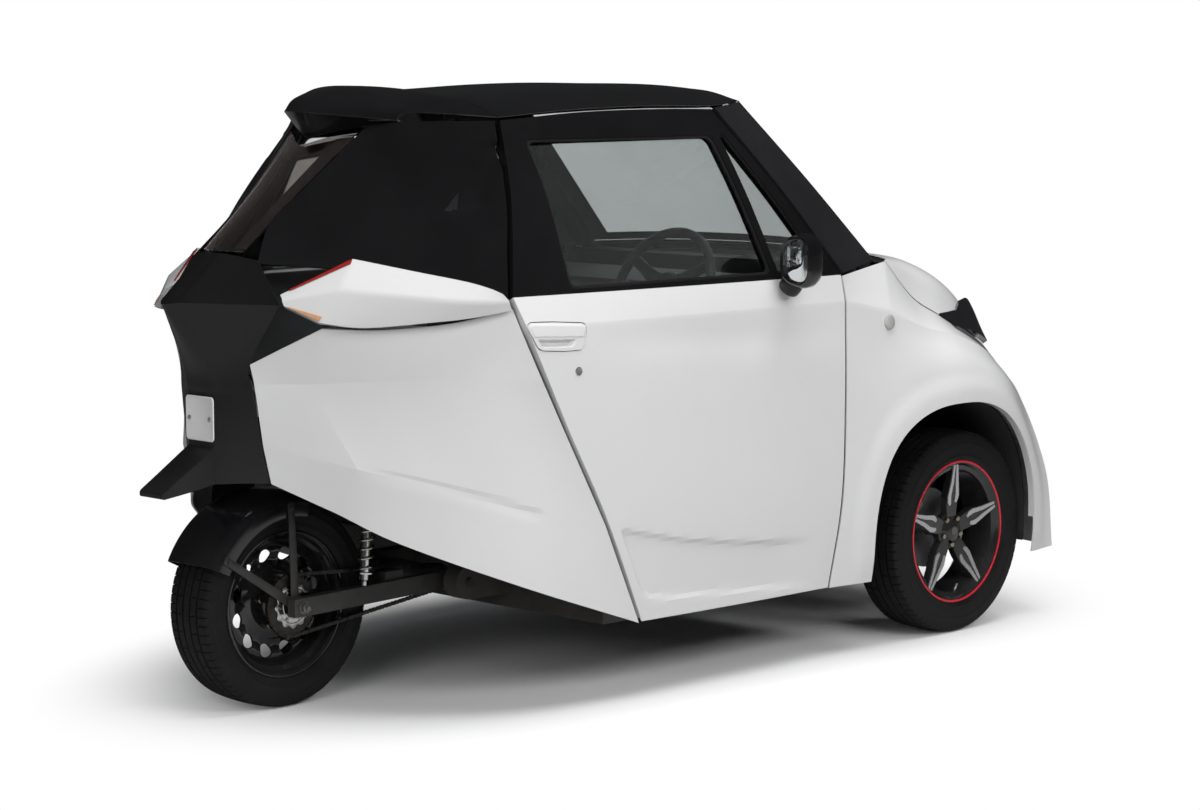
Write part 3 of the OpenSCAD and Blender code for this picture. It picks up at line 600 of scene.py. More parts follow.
plate = loft("blank_number_plate", [rounded_box_ring(plate_x + d, plate_y - i, plate_z[0] + i, plate_z[1] - i,
                                                     0.010)
                                    for d, i in ((0.003, 0), (0.0006, 0), (0, 0.0008), (0, 0.004),
                                                 (0.0008, 0.0052))],
             plate_white, "body", smooth=True)
rounded(plate, 0.0004)
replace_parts(plate, "number_plate")
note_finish(plate, "plate")
for side in (-1, 1):
    screw = loft(f"plate_screw_{'right' if side < 0 else 'left'}",
                 [[(plate_x - d, side * 0.04 + r * math.cos(a), 0.754 + r * math.sin(a))
                   for a in np.linspace(0, 2 * math.pi, 18, endpoint=False)]
                  for d, r in ((-0.001, 0.0062), (0.0012, 0.0062), (0.0026, 0.0048), (0.0028, 0.0024),
                               (0.0016, 0.0018))],
                 bare_silver, "body")
    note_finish(screw, "bare_alloy")


# ---- Lamp pods and tail lamps ----
# A pod stands proud over each quarter panel. Its rear edges carry two thin
# lamps: red for the tail lamp above and amber for the indicator below.
pod_lines = half([
    [(-1218, 205, 1050), (-1048, 300, 1144), (-957, 430, 1114), (-880, 545, 1090), (-826, 612, 1066)],
    [(-1224, 222, 1046), (-1120, 335, 1075), (-1020, 452, 1062), (-915, 560, 1050), (-818, 622, 1050)],
    [(-1220, 232, 1040), (-1178, 318, 1000), (-1090, 400, 990), (-950, 530, 1008), (-812, 626, 1032)]])
points = skin(pod_lines, 0.008, rows=(1,), columns=(1,), gaps=(0.5, 0.5, 0, 3), part=(0, 1, 0.02, 1),
              depth=-0.014)
# the pods take a darker copy of the pearl white: painted shade that keeps their tops from glaring under the roof
# lamp
pod_white_shaded = finish("pod_white_painted_shade", (0.50, 0.50, 0.498), 0.36, drift=0.012, rough_drift=0.04, grain=0.05,
                   grain_scale=900, Coat_Weight=0.5, Coat_Roughness=0.14)
pods = thicken(piece("pod_shells", *faces_of(points), pod_white_shaded, "body", mirror=True), 0.016, 0.003, 60)
pods.modifiers["wall"].use_even_offset = False
pods.modifiers["edge"].segments = 3
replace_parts(pods, "lamp_pods")
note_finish(pods, "white")


def lens(name, colour, **fixed):
    return finish(name, colour, 0.12, drift=0.12, drift_scale=40, rough_drift=0.03, grain=0.25, grain_scale=260,
                  Coat_Weight=0.8, Coat_Roughness=0.03, **fixed)


red_lens = lens("red_lens", (0.24, 0.014, 0.012), Subsurface_Weight=0.15)
amber_lens = lens("amber_lens", (0.50, 0.25, 0.13), Subsurface_Weight=0.15)
for tag, colour, share in (("tail", red_lens, (0.02, 0.10)), ("indicator", amber_lens, (0.91, 0.98))):
    points = skin(pod_lines, 0.006, rows=(1,), columns=(1,), gaps=(0, 0, 0.5, 0), part=(*share, 0.05, 0.25),
                  depth=-0.0172)
    strip = piece(f"{tag}_strips", *faces_of(points), colour, "body", mirror=True)
    thicken(strip, 0.0026, 0.0009, 30)
    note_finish(strip, "lamp_red")
    if tag == "tail":
        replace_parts(strip, "tail_lamps")


# ---- Rear pillars and rear glass ----
# The black rear pillars wrap from the door to the tinted rear glass. Each has
# a shallow scoop behind the door, deepest at its front wall.
pillar_lines = half([
    [(-862, 143, 1478), (-818, 210, 1488), (-735, 305, 1490), (-650, 396, 1490)],
    [(-1042, 97, 1317), (-912, 206, 1341), (-830, 350, 1300), (-729, 521, 1290)],
    [(-1140, 86, 1236), (-1010, 224, 1246), (-900, 390, 1190), (-775, 572, 1175)],
    [(-1220, 132, 1140), (-1122, 230, 1132), (-966, 404, 1112), (-818, 620, 1058)]])
scoop = [(-0.735, 1.432), (-0.655, 1.438), (-0.738, 1.317), (-0.757, 1.281), (-0.915, 1.222)]


def press_scoop(p, inwards):
    inside = side_of(scoop, p[0], p[2])
    if inside > 0:
        wall, _ = to_line(scoop, p[0], p[2])
        run, _ = to_line([scoop[4], scoop[0]], p[0], p[2])
        return p + inwards * 0.024 * step_up(wall / 0.012) * step_up(run / 0.10)
    return p


points = skin(pillar_lines, 0.010, columns=(1,), gaps=(1.8, 0.5, 0.9, 2.9))
points = np.apply_along_axis(press_scoop, 2, points, np.array((0.12, 0.93, -0.30)))
pillars = thicken(piece("rear_pillar_skins", *faces_of(points), gloss_black, "body", mirror=True), 0.005,
                  0.002, 25)
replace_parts(pillars, "rear_pillars")
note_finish(pillars, "black_gloss")


def glass(name, colour, rough=0.02):
    return finish(name, colour, rough, drift=0.05, drift_scale=2, rough_drift=0.012, Transmission_Weight=1.0,
                  IOR=1.05, Specular_IOR_Level=1.0, Coat_Weight=1.0, Coat_Roughness=0.02)


tinted = glass("tinted_glass", (0.30, 0.265, 0.25), 0.06)
clear = glass("clear_glass", (0.60, 0.63, 0.625))
glass_lines = turned(full([
    [(-884, 134, 1458), (-930, 68, 1446), (-964, 0, 1427)],
    [(-1042, 97, 1317), (-1070, 50, 1320), (-1080, 0, 1321)],
    [(-1215, 78, 1166), (-1250, 40, 1169), (-1262, 0, 1170)]]))
points = skin(glass_lines, 0.012, gaps=(1, 1, 1.2, 1.2))
rear_pane = thicken(piece("rear_pane", *faces_of(points), tinted, "body"), 0.004, 0.001)
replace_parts(rear_pane, "rear_glass")
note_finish(rear_pane, "tinted_window")


# ---- Roof and rear spoiler ----
# The roof is one pressed panel in gloss black. The spoiler is bolted to its
# rear edge, hollow, with its own underside.
roof_lines = full([
    [(-650, 400, 1496), (-662, 240, 1545), (-668, 0, 1552)],
    [(-400, 437, 1515), (-400, 260, 1556), (-400, 0, 1561)],
    [(-150, 464, 1521), (-150, 290, 1565), (-150, 0, 1571)],
    [(48, 487, 1519), (60, 300, 1566), (65, 0, 1572)],
    [(165, 474, 1530), (212, 290, 1556), (232, 0, 1561)]])
points = skin(roof_lines, 0.014, gaps=(0.4, 1, 1, 1))
roof = thicken(piece("roof_skin", *faces_of(points), gloss_black, "body"), 0.005, 0.002, 30)
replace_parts(roof, "roof")
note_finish(roof, "black_gloss")
spoiler_lines = full([
    [(-822, 213, 1486), (-926, 98, 1500), (-1005, 0, 1510)],
    [(-815, 218, 1500), (-900, 102, 1530), (-965, 0, 1544)],
    [(-790, 243, 1506), (-835, 118, 1558), (-850, 0, 1570)],
    [(-735, 305, 1504), (-745, 160, 1560), (-750, 0, 1569)],
    [(-650, 400, 1496), (-662, 240, 1545), (-668, 0, 1552)]])
points = skin(spoiler_lines, 0.010, gaps=(0, 0.4, 1, 1))
spoiler = thicken(piece("spoiler_skin", *faces_of(points), gloss_black, "body"), 0.005, 0.0015, 35)
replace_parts(spoiler, "rear_spoiler")
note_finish(spoiler, "black_gloss")
under_lines = full([
    [(-806, 205, 1480), (-875, 100, 1466), (-945, 0, 1442)],
    [(-822, 213, 1486), (-926, 98, 1500), (-1005, 0, 1510)]])
points = skin(under_lines, 0.010, gaps=(0, 0, 0.4, 0.4))
under = thicken(piece("spoiler_underside", *faces_of(points), gloss_black, "body"), 0.005, 0.0012, 35)
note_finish(under, "black_gloss")


# ---- Windscreen and cowl ----
# A laminated windscreen is bonded to its flange. The cowl under it is moulded
# plastic and carries the spindle of one wiper.
screen_lines = full([
    [(165, 474, 1530), (212, 290, 1556), (232, 0, 1561)],
    [(385, 537, 1308), (465, 310, 1328), (500, 0, 1333)],
    [(600, 590, 1085), (705, 320, 1098), (750, 0, 1102)]])
points = skin(screen_lines, 0.016)
screen = thicken(piece("windscreen_pane", *faces_of(points), clear, "body"), 0.004, 0.001)
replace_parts(screen, "windscreen")
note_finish(screen, "window")
for tag, share in (("top", (0.012, 0.05, 0.02, 0.98)), ("foot", (0.94, 0.99, 0.02, 0.98)),
                   ("right", (0.012, 0.99, 0.008, 0.11)), ("left", (0.012, 0.99, 0.89, 0.992))):
    points = skin(screen_lines, 0.02, gaps=(0, 0, 0, 0), part=share, depth=0.0042)
    band = thicken(piece(f"screen_band_{tag}", *faces_of(points), satin_black, "body"), 0.0004, 0.0001)
cowl_lines = full([
    [(600, 590, 1085), (705, 320, 1098), (750, 0, 1102)],
    [(650, 588, 1080), (770, 320, 1094), (820, 0, 1098)]])
points = skin(cowl_lines, 0.008, gaps=(0.5, 1, 0.5, 0.5))
cowl = thicken(piece("cowl_moulding", *faces_of(points), moulded_black, "body"), 0.008, 0.0015)
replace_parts(cowl, "cowl_panel")
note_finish(cowl, "black_plastic")


# ---- Nose panel, grille and bonnet ----
# The nose panel closes the front between the wings, with a low grille of five
# slats. The bonnet is hinged under the windscreen.
nose_lines = full([
    [(1215, 500, 782), (1300, 390, 820), (1350, 250, 832), (1375, 0, 836)],
    [(1270, 600, 650), (1360, 430, 665), (1420, 230, 672), (1440, 0, 674)],
    [(1322, 662, 430), (1400, 450, 430), (1440, 230, 430), (1453, 0, 430)],
    [(1335, 680, 205), (1395, 450, 202), (1425, 230, 200), (1435, 0, 200)]])
points = skin(nose_lines, 0.014, gaps=(1, 0, 1.3, 1.3))
verts, quads = faces_of(points)


def punched(verts, quads, outline):
    # cuts a hole through the skin along an outline drawn in front view
    turned_verts = [Vector((v.y, v.x, v.z)) for v in verts]
    out, kept = trimmed(turned_verts, quads, outline, False)
    return [Vector((v.y, v.x, v.z)) for v in out], kept


def rounded_outline(low, high, radius, steps=8):
    (x0, z0), (x1, z1) = low, high
    ring = []
    for cx, cz, start in ((x1 - radius, z1 - radius, 0), (x0 + radius, z1 - radius, 90),
                          (x0 + radius, z0 + radius, 180), (x1 - radius, z0 + radius, 270)):
        for k in range(steps + 1):
            a = math.radians(start + 90 * k / steps)
            ring.append((cx + radius * math.cos(a), cz + radius * math.sin(a)))
    return ring


verts, quads = punched(verts, quads, rounded_outline((-0.225, 0.338), (0.225, 0.488), 0.03))
towing = [(-0.18 + 0.022 * math.cos(a), 0.262 + 0.022 * math.sin(a))
          for a in np.linspace(0, 2 * math.pi, 24, endpoint=False)]
verts, quads = punched(verts, quads, towing)
nose = thicken(piece("nose_skin", verts, quads, pearl_white, "body"), 0.005, 0.002)
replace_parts(nose, "nose_panel")
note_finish(nose, "white")
bonnet_lines = full([
    [(650, 588, 1080), (690, 545, 1088), (770, 320, 1096), (820, 0, 1100)],
    [(790, 575, 968), (850, 510, 1058), (900, 300, 1072), (930, 0, 1078)],
    [(930, 566, 905), (1020, 485, 1000), (1060, 290, 1026), (1080, 0, 1032)],
    [(1090, 548, 835), (1175, 440, 925), (1230, 270, 945), (1250, 0, 950)],
    [(1215, 500, 782), (1300, 390, 820), (1350, 250, 832), (1375, 0, 836)]])
points = skin(bonnet_lines, 0.011, gaps=(2, 1.6, 1.4, 1.4))


def inset(outline, by):
    # the outline drawn in by a distance, corners kept
    out = []
    count = len(outline)
    area = sum(a[0] * b[1] - b[0] * a[1] for a, b in zip(outline, outline[1:] + outline[:1]))
    turn = 1 if area > 0 else -1
    for k in range(count):
        a, b, c = (Vector((*outline[(k + d) % count], 0)) for d in (-1, 0, 1))
        e, f = (b - a).normalized(), (c - b).normalized()
        n1, n2 = Vector((-e.y, e.x, 0)) * turn, Vector((-f.y, f.x, 0)) * turn
        m = (n1 + n2).normalized()
        q = b + m * by / max(0.35, m.dot(n1))
        out.append((q.x, q.y))
    return out


def cut_in_plan(verts, quads, outline, keep):
    # keeps or cuts the part of a skin inside an outline drawn from above
    turned_verts = [Vector((v[0], v[2], v[1])) for v in verts]
    out, kept = trimmed(turned_verts, quads, outline, keep)
    return [Vector((v[0], v[2], v[1])) for v in out], kept


# its front corners are cut back round the headlamps
lamp_corner = [(0.86, -0.64), (1.42, -0.64), (1.42, -0.370), (1.292, -0.382), (1.19, -0.446), (1.04, -0.530),
               (0.93, -0.562)]
verts, quads = cut_in_plan(*faces_of(points), lamp_corner, False)
verts, quads = cut_in_plan(verts, quads, [(x, -y) for x, y in reversed(lamp_corner)], False)
bonnet = thicken(piece("bonnet_skin", verts, quads, pearl_white, "bonnet"), 0.005, 0.002, 30)
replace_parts(bonnet, "bonnet")
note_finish(bonnet, "white")


# ---- Front wings, side markers and headlamps ----
# Each front wing is one moulding with a swollen lip round the wheel arch. The
# headlamp sits in the wing's front corner under a dark cover.
wing_lines = half([
    [(398, 646, 1056), (650, 588, 1080), (790, 575, 968), (930, 566, 905), (1090, 548, 835), (1215, 500, 782)],
    [(402, 658, 985), (600, 652, 945), (760, 646, 890), (920, 640, 855), (1080, 618, 800), (1240, 552, 730)],
    [(402, 662, 725), (560, 672, 735), (740, 690, 742), (910, 700, 735), (1110, 682, 690), (1270, 600, 650)],
    [(392, 661, 440), (540, 682, 440), (730, 698, 440), (920, 702, 440), (1170, 700, 440), (1322, 662, 430)],
    [(352, 648, 198), (520, 668, 198), (720, 685, 200), (920, 690, 200), (1160, 695, 202), (1335, 680, 205)]])
arch_middle, arch_reach, arch_power = (0.862, 0.291), (0.352, 0.381), 2.4


def arch_point(a, grow=0.0):
    c, s = math.cos(a), math.sin(a)
    return (arch_middle[0] + (arch_reach[0] + grow) * math.copysign(abs(c) ** (2 / arch_power), c),
            arch_middle[1] + (arch_reach[1] + grow) * s ** (2 / arch_power))


arch_outline = [arch_point(a) for a in np.linspace(0, math.pi, 49)]
arch_outline += [(arch_middle[0] - arch_reach[0], -0.1), (arch_middle[0] + arch_reach[0], -0.1)]


def swell_arch(p):
    # the lip of the arch stands 8 mm proud and fades out 85 mm from its edge
    far = -side_of(arch_outline, p[0], p[2])
    rise = step_up((0.088 - far) / 0.058) * 0.008 * step_up((p[2] - 0.17) / 0.10)
    p[1] -= rise
    return p


points = skin(wing_lines, 0.0115, rows=(1,), columns=(1,), gaps=(1, 0, 1, 1))
points = np.apply_along_axis(swell_arch, 2, points)
verts, quads = trimmed(*faces_of(points), arch_outline, False)
wings = thicken(piece("front_wing_skins", verts, quads, pearl_white, "body", mirror=True), 0.005, 0.0022, 20)
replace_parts(wings, "front_wings")
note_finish(wings, "white")


def side_height(grid, x, z, rows=(), columns=()):
    # the point and the outward normal of a side panel at a place given in side view
    u, v = np.meshgrid(np.linspace(0, len(grid) - 1, 60), np.linspace(0, len(grid[0]) - 1, 60), indexing="ij")
    far = surface(grid, u, v, rows, columns)
    pick = np.unravel_index(np.argmin((far[..., 0] - x) ** 2 + (far[..., 2] - z) ** 2), u.shape)
    u, v = np.array([u[pick]]), np.array([v[pick]])
    for _ in range(12):
        p = surface(grid, u, v, rows, columns)[0]
        h = 1e-3
        du = (surface(grid, u + h, v, rows, columns)[0] - p) / h
        dv = (surface(grid, u, v + h, rows, columns)[0] - p) / h
        step = np.linalg.solve([[du[0], dv[0]], [du[2], dv[2]]], [x - p[0], z - p[2]])
        u, v = u + step[0], v + step[1]
    return surface(grid, u, v, rows, columns)[0], outward(grid, u, v, rows, columns)[0]


# the arch lip turns inwards behind its edge
rings = []
for a in np.linspace(0.02, math.pi - 0.02, 90):
    (x, z), (xo, zo) = arch_point(a), arch_point(a, 0.003)
    y = side_height(wing_lines, x, z, (1,), (1,))[0][1] - 0.008 + 0.004
    rings.append([(x, y, z), (x, y + 0.020, z), (xo, y + 0.020, zo), (xo, y, zo)])
lips = loft("arch_lips", rings, pearl_white, "body", mirror=True)
rounded(lips, 0.001)

# the liner keeps the spray off the engine bay
liner_black = finish("liner_plastic", (0.010, 0.010, 0.010), 0.8, drift=0.3, grain=0.6, grain_scale=500,
                     dust=0.15)
rings = []
for a in np.linspace(-0.10, math.pi + 0.10, 60):
    grow = 0.006
    c, s = math.cos(a), math.sin(a)
    x, z = arch_point(max(0, min(math.pi, a)), grow)
    z += min(0, s) * 0.6
    x2, z2 = x + (0.005 if c > 0 else -0.005), z + 0.005
    rings.append([(x, -0.655, z), (x, -0.335, z), (x2, -0.335, z2), (x2, -0.655, z2)])
liners = loft("arch_liners", rings, liner_black, "body", mirror=True)
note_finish(liners, "black_plastic")
backs = []
for a in np.linspace(0, math.pi, 40):
    x, z = arch_point(a, 0.006)
    backs.append([(x, -0.331, 0.25), (x, -0.331, max(z, 0.26)), (x, -0.335, max(z, 0.26)), (x, -0.335, 0.25)])
loft("arch_liner_backs", backs, liner_black, "body", mirror=True)

frosted_lens = lens("side_marker_lens", (0.50, 0.50, 0.48), Transmission_Weight=0.3)
p, n = side_height(wing_lines, 0.590, 0.915, (1,), (1,))
p, n = Vector(p), Vector(n)
frame_turn = n.to_track_quat("Z", "Y").to_matrix()
rings = []
for r, h in ((0.021, -0.004), (0.021, 0.005), (0.0195, 0.0068), (0.016, 0.0082), (0.010, 0.0094),
             (0.003, 0.0098)):
    rings.append([p + frame_turn @ Vector((r * math.cos(a), r * math.sin(a), h))
                  for a in np.linspace(0, 2 * math.pi, 32, endpoint=False)])
markers = loft("side_markers", rings, frosted_lens, "body", mirror=True)
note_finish(markers, "lamp")

lamp_cover = finish("smoked_lamp_cover", (0.012, 0.012, 0.014), 0.06, drift=0.2, rough_drift=0.02, grain=0.04,
                    Coat_Weight=1.0, Coat_Roughness=0.02)
points = skin(wing_lines, 0.008, rows=(1,), gaps=(2, 0, 0, 1.5), part=(0, 0.09, 0.66, 1), depth=-0.009)
covers = thicken(piece("headlamp_covers", *faces_of(points), lamp_cover, "body", mirror=True), 0.0085, 0.003,
                 30)
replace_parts(covers, "headlamps")
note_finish(covers, "lamp")
# the lens itself stands proud in the corner between the wing and the bonnet
points = skin(bonnet_lines, 0.008, gaps=(0, 1, 0, 0), part=(0.2, 1, 0, 0.25), depth=-0.001)
verts, quads = cut_in_plan(*faces_of(points), inset(lamp_corner, 0.002), True)
for v in verts:
    rise = step_up((v[0] - 0.93) / 0.30)
    v[0] += 0.026 * rise
    v[2] += 0.026 * rise
lenses = thicken(piece("headlamp_lenses", verts, quads, lamp_cover, "body", mirror=True), 0.016, 0.004, 50)
lenses.modifiers["wall"].use_even_offset = False
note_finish(lenses, "lamp")


# ---- Doors ----
# Each door is a white outer skin under a black window frame, with a liner
# inside. The foot of the skin is pressed in, and the handle fills a cut in it.
belt = [(-818, 620, 1062), (-400, 640, 1060), (0, 646, 1058), (398, 646, 1056)]
door_lines = half([belt,
                   [(-790, 640, 988), (-400, 655, 985), (0, 660, 985), (402, 658, 985)],
                   [(-655, 648, 725), (-300, 660, 725), (50, 664, 725), (402, 662, 725)],
                   [(-520, 652, 480), (-230, 661, 465), (80, 663, 450), (392, 661, 440)],
                   [(-388, 646, 202), (-130, 650, 200), (110, 650, 198), (352, 648, 197)]])
frame_lines = half([[(-650, 396, 1490), (-400, 432, 1509), (-150, 460, 1514), (48, 482, 1511)],
                    [(-729, 521, 1290), (-400, 550, 1290), (-75, 566, 1290), (223, 575, 1290)], belt])
foot_panel = [(-0.462, 0.448), (-0.25, 0.401), (-0.036, 0.369), (0.12, 0.352), (0.5, 0.330), (0.5, 0.195),
              (0.296, 0.219),
              (-0.02, 0.238), (-0.27, 0.255), (-0.345, 0.262), (-0.372, 0.274), (-0.392, 0.295)]
handle_outline = [(-0.772, 1.001), (-0.700, 0.998), (-0.600, 0.990), (-0.588, 0.984), (-0.585, 0.972),
                  (-0.596, 0.932),
                  (-0.606, 0.920), (-0.66, 0.920), (-0.735, 0.926), (-0.752, 0.934), (-0.782, 0.982),
                  (-0.783, 0.994)]


def press_door(p):
    inside = side_of(foot_panel, p[0], p[2])
    fade = 1 - step_up((p[0] - 0.10) / 0.20)
    sunk = 0.0085 * step_up(0.5 + inside / 0.015) * fade if inside > -0.01 else 0
    # a shallow hollow runs forward from the handle under the window
    hollow = 0.0045 * math.exp(-(((p[2] - 0.93 + 0.05 * (p[0] + 0.3)) / 0.045) ** 2)) * step_up((p[0] + 0.62) / 0.4)
    p[1] += sunk + hollow * (1 - step_up((p[0] - 0.15) / 0.3))
    return p


points = skin(door_lines, 0.010, rows=(1,), gaps=(0, 1, 1.9, 1.6))
points = np.apply_along_axis(press_door, 2, points)
verts, quads = trimmed(*faces_of(points), handle_outline, False)
door = thicken(piece("door_right_skin", verts, quads, pearl_white, "door_right"), 0.0045, 0.0018, 22)
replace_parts(door, "door_right")
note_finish(door, "white")
door_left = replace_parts(other_side(door, "door_left_skin", "door_left"), "door_left")
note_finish(door_left, "white")


def soft_corners(outline, radius, steps=6):
    # rounds the corners of an outline
    out = []
    count = len(outline)
    for k in range(count):
        a, b, c = (Vector((*outline[(k + d) % count], 0)) for d in (-1, 0, 1))
        e, f = (a - b).normalized(), (c - b).normalized()
        p, q = b + e * radius, b + f * radius
        for s in range(steps + 1):
            t = s / steps
            w = p * (1 - t) ** 2 + b * 2 * t * (1 - t) + q * t**2
            out.append((w.x, w.y))
    return out


# handle: a plate with a finger scoop under a lift flap
across, down = 90, 44
gx, gz = np.meshgrid(np.linspace(-0.80, -0.57, across), np.linspace(1.01, 0.91, down))
anchor_x, anchor_z = np.meshgrid(np.linspace(-0.82, -0.55, 6), np.linspace(1.03, 0.89, 5))
anchor = np.array([[side_height(door_lines, x, z, (1,))[0][1] for x, z in zip(rx, rz)] for rx,
                   rz in zip(anchor_x, anchor_z)])
fit_terms = np.stack([np.ones(30), anchor_x.ravel(), anchor_z.ravel(), anchor_x.ravel() * anchor_z.ravel(),
                      anchor_z.ravel() ** 2], 1)
fitted = np.linalg.lstsq(fit_terms, anchor.ravel(), rcond=None)[0]
finger_scoop = soft_corners([(-0.752, 0.957), (-0.624, 0.950), (-0.634, 0.930), (-0.735, 0.934)], 0.008)
lid_outline = inset(handle_outline, 0.006)


def handle_y(x, z):
    y = fitted @ np.array((1, x, z, x * z, z * z))
    y -= 0.0012
    inside = side_of(finger_scoop, x, z)
    if inside > 0:
        y += 0.016 * step_up(inside / 0.008)
    lid_edge = 0.9585 - 0.055 * (x + 0.69)
    if z > lid_edge:
        y -= 0.0022 * step_up((z - lid_edge) / 0.0015) * step_up(side_of(lid_outline, x, z) / 0.004 + 0.2)
    return y


verts = [Vector((x, handle_y(x, z), z)) for x, z in zip(gx.ravel(), gz.ravel())]
quads = [[i * across + j, (i + 1) * across + j, (i + 1) * across + j + 1, i * across + j + 1]
         for i in range(down - 1) for j in range(across - 1)]
verts, quads = trimmed(verts, quads, inset(handle_outline, 0.0022), True)
handle = thicken(piece("door_right_handle", verts, quads, pearl_white, "door_right"), 0.003, 0.0008, 35)
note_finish(handle, "white")
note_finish(other_side(handle, "door_left_handle", "door_left"), "white")

# key barrel
p, n = side_height(door_lines, -0.615, 0.868, (1,))
p, n = Vector(p), Vector(n)
turn_out = n.to_track_quat("Z", "Y").to_matrix()
rings = [[p + turn_out @ Vector((r * math.cos(a), r * math.sin(a), h))
          for a in np.linspace(0, 2 * math.pi, 28, endpoint=False)]
         for r, h in ((0.0115, -0.002), (0.0115, 0.0015), (0.0105, 0.0024), (0.0085, 0.0024), (0.008, 0.0010),
                      (0.003, 0.0008))]
barrel = loft("door_right_lock", rings, bare_silver, "door_right")
rounded(barrel, 0.0004)
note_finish(barrel, "bare_alloy")
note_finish(other_side(barrel, "door_left_lock", "door_left"), "bare_alloy")

# window frame
main_window = [(-0.600, 1.440), (0.020, 1.440), (0.118, 1.072), (-0.620, 1.072)]
small_window = [(0.048, 1.440), (0.066, 1.440), (0.330, 1.074), (0.142, 1.074)]
points = skin(frame_lines, 0.009, gaps=(1.6, 0, 1.9, 1.6))
verts, quads = faces_of(points)
for window, radius in ((main_window, 0.022), (small_window, 0.006)):
    verts, quads = trimmed(verts, quads, soft_corners(window, radius), False)
window_frame = thicken(piece("door_right_frame", verts, quads, gloss_black, "door_right"), 0.028, 0.0015, 30)
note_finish(window_frame, "black_gloss")
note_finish(other_side(window_frame, "door_left_frame", "door_left"), "black_gloss")

# panes and their rubber seals
points = skin(frame_lines, 0.012, gaps=(1.6, 0, 1.9, 1.6), depth=0.009)
seal_rubber = finish("seal_rubber", (0.012, 0.012, 0.012), 0.6, drift=0.2, grain=0.3, grain_scale=900)
for tag, window, radius in (("main", main_window, 0.022), ("quarter", small_window, 0.006)):
    verts, quads = trimmed(*faces_of(points), soft_corners(inset(window, -0.0005), radius), True)
    pane = thicken(piece(f"door_right_{tag}_pane", verts, quads, clear, "door_right"), 0.004, 0.0006)
    pane_left = other_side(pane, f"door_left_{tag}_pane", "door_left")
    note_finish(pane, "window")
    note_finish(pane_left, "window")
    if tag == "main":
        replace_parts(pane, "door_glass_right")
        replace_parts(pane_left, "door_glass_left")
    # the seal stands round the pane inside the frame
    edge = soft_corners(window, radius)
    inner = soft_corners(inset(window, 0.007 if tag == "main" else 0.004), radius)
    lifted = skin(frame_lines, 0.006, gaps=(1.6, 0, 1.9, 1.6), depth=0.003)
    verts, quads = trimmed(*faces_of(lifted), edge, True)
    verts, quads = trimmed(verts, quads, inner, False)
    seal = thicken(piece(f"door_right_{tag}_seal", verts, quads, seal_rubber, "door_right"), 0.006, 0.0008)
    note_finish(seal, "trim")
    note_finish(other_side(seal, f"door_left_{tag}_seal", "door_left"), "trim")

# liner inside the door
liner_cloth = finish("door_liner_plastic", (0.035, 0.035, 0.037), 0.6, drift=0.2, grain=0.5, grain_scale=1100)
points = skin(door_lines, 0.02, gaps=(0, 4, 4, 4), depth=0.046)
liner = thicken(piece("door_right_liner", *faces_of(points), liner_cloth, "door_right"), 0.010, 0.004)
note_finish(liner, "trim")
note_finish(other_side(liner, "door_left_liner", "door_left"), "trim")
for tag, share in (("top", (0.0, 0.012, 0.02, 0.98)), ("rear", (0, 0.98, 0.004, 0.016)),
                   ("front", (0, 0.98, 0.984, 0.996)),
                   ("foot", (0.982, 0.994, 0.02, 0.98))):
    points = skin(door_lines, 0.02, rows=(1,), gaps=(0, 1.2, 2.1, 1.8), part=share, depth=0.0050)
    rim = thicken(piece(f"door_right_rim_{tag}", *faces_of(points), pearl_white, "door_right"), 0.045, 0.001)
    other_side(rim, f"door_left_rim_{tag}", "door_left")


# ---- Mirrors ----
# Each door carries a gloss black mirror head on a short round foot, with the
# silvered glass set into its rear face.
mirror_glass = finish("mirror_silvering", (0.75, 0.77, 0.78), 0.04, drift=0.03, rough_drift=0.015, Metallic=1.0)


def mirror_ring(x, half_w, half_h, power=3.0, count=40):
    ring = []
    for a in np.linspace(0, 2 * math.pi, count, endpoint=False):
        c, s = math.cos(a), math.sin(a)
        y = math.copysign(abs(c) ** (2 / power), c) * half_w
        z = math.copysign(abs(s) ** (2 / power), s) * half_h
        # the head is taller outside than at the door
        ring.append(Vector((x, -0.727 + 0.80 * y, 1.112 + 1.28 * z * (1 - 0.16 * y / 0.065))))
    return ring


head = [mirror_ring(x, w, h) for x, w, h in
        ((0.113, 0.004, 0.004), (0.113, 0.040, 0.034), (0.113, 0.056, 0.044), (0.107, 0.0585, 0.0465),
         (0.109, 0.0635, 0.0515), (0.120, 0.0665, 0.0545), (0.145, 0.0655, 0.0535), (0.168, 0.058, 0.047),
         (0.183, 0.044, 0.036), (0.190, 0.022, 0.018), (0.191, 0.003, 0.003))]
mirror = loft("mirror_head_right", head, gloss_black, "door_right")
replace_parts(mirror, "mirror_right")
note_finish(mirror, "black_gloss")
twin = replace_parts(other_side(mirror, "mirror_head_left", "door_left"), "mirror_left")
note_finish(twin, "black_gloss")
glass_rings = [mirror_ring(x, w, h) for x, w, h in ((0.1128, 0.0545, 0.0425), (0.1118, 0.0535, 0.0415),
                                                    (0.1116, 0.003, 0.003))]
silvered = loft("mirror_glass_right", glass_rings, mirror_glass, "door_right")
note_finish(silvered, "bare_alloy")
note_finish(other_side(silvered, "mirror_glass_left", "door_left"), "bare_alloy")
rings = []
for t, r in ((0, 0.0), (0.0, 0.0270), (0.08, 0.0300), (0.35, 0.0305), (0.6, 0.028), (0.78, 0.024),
             (1.0, 0.021)):
    centre = Vector((0.150, -0.668, 1.030)).lerp(Vector((0.150, -0.712, 1.078)), t)
    slant = (Vector((0, -0.044, 0.048))).normalized().to_track_quat("Z", "Y").to_matrix()
    rings.append([centre + slant @ Vector((r * math.cos(a), r * math.sin(a), 0))
                  for a in np.linspace(0, 2 * math.pi, 32, endpoint=False)])
foot = loft("mirror_foot_right", rings, satin_black, "door_right")
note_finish(foot, "black_plastic")
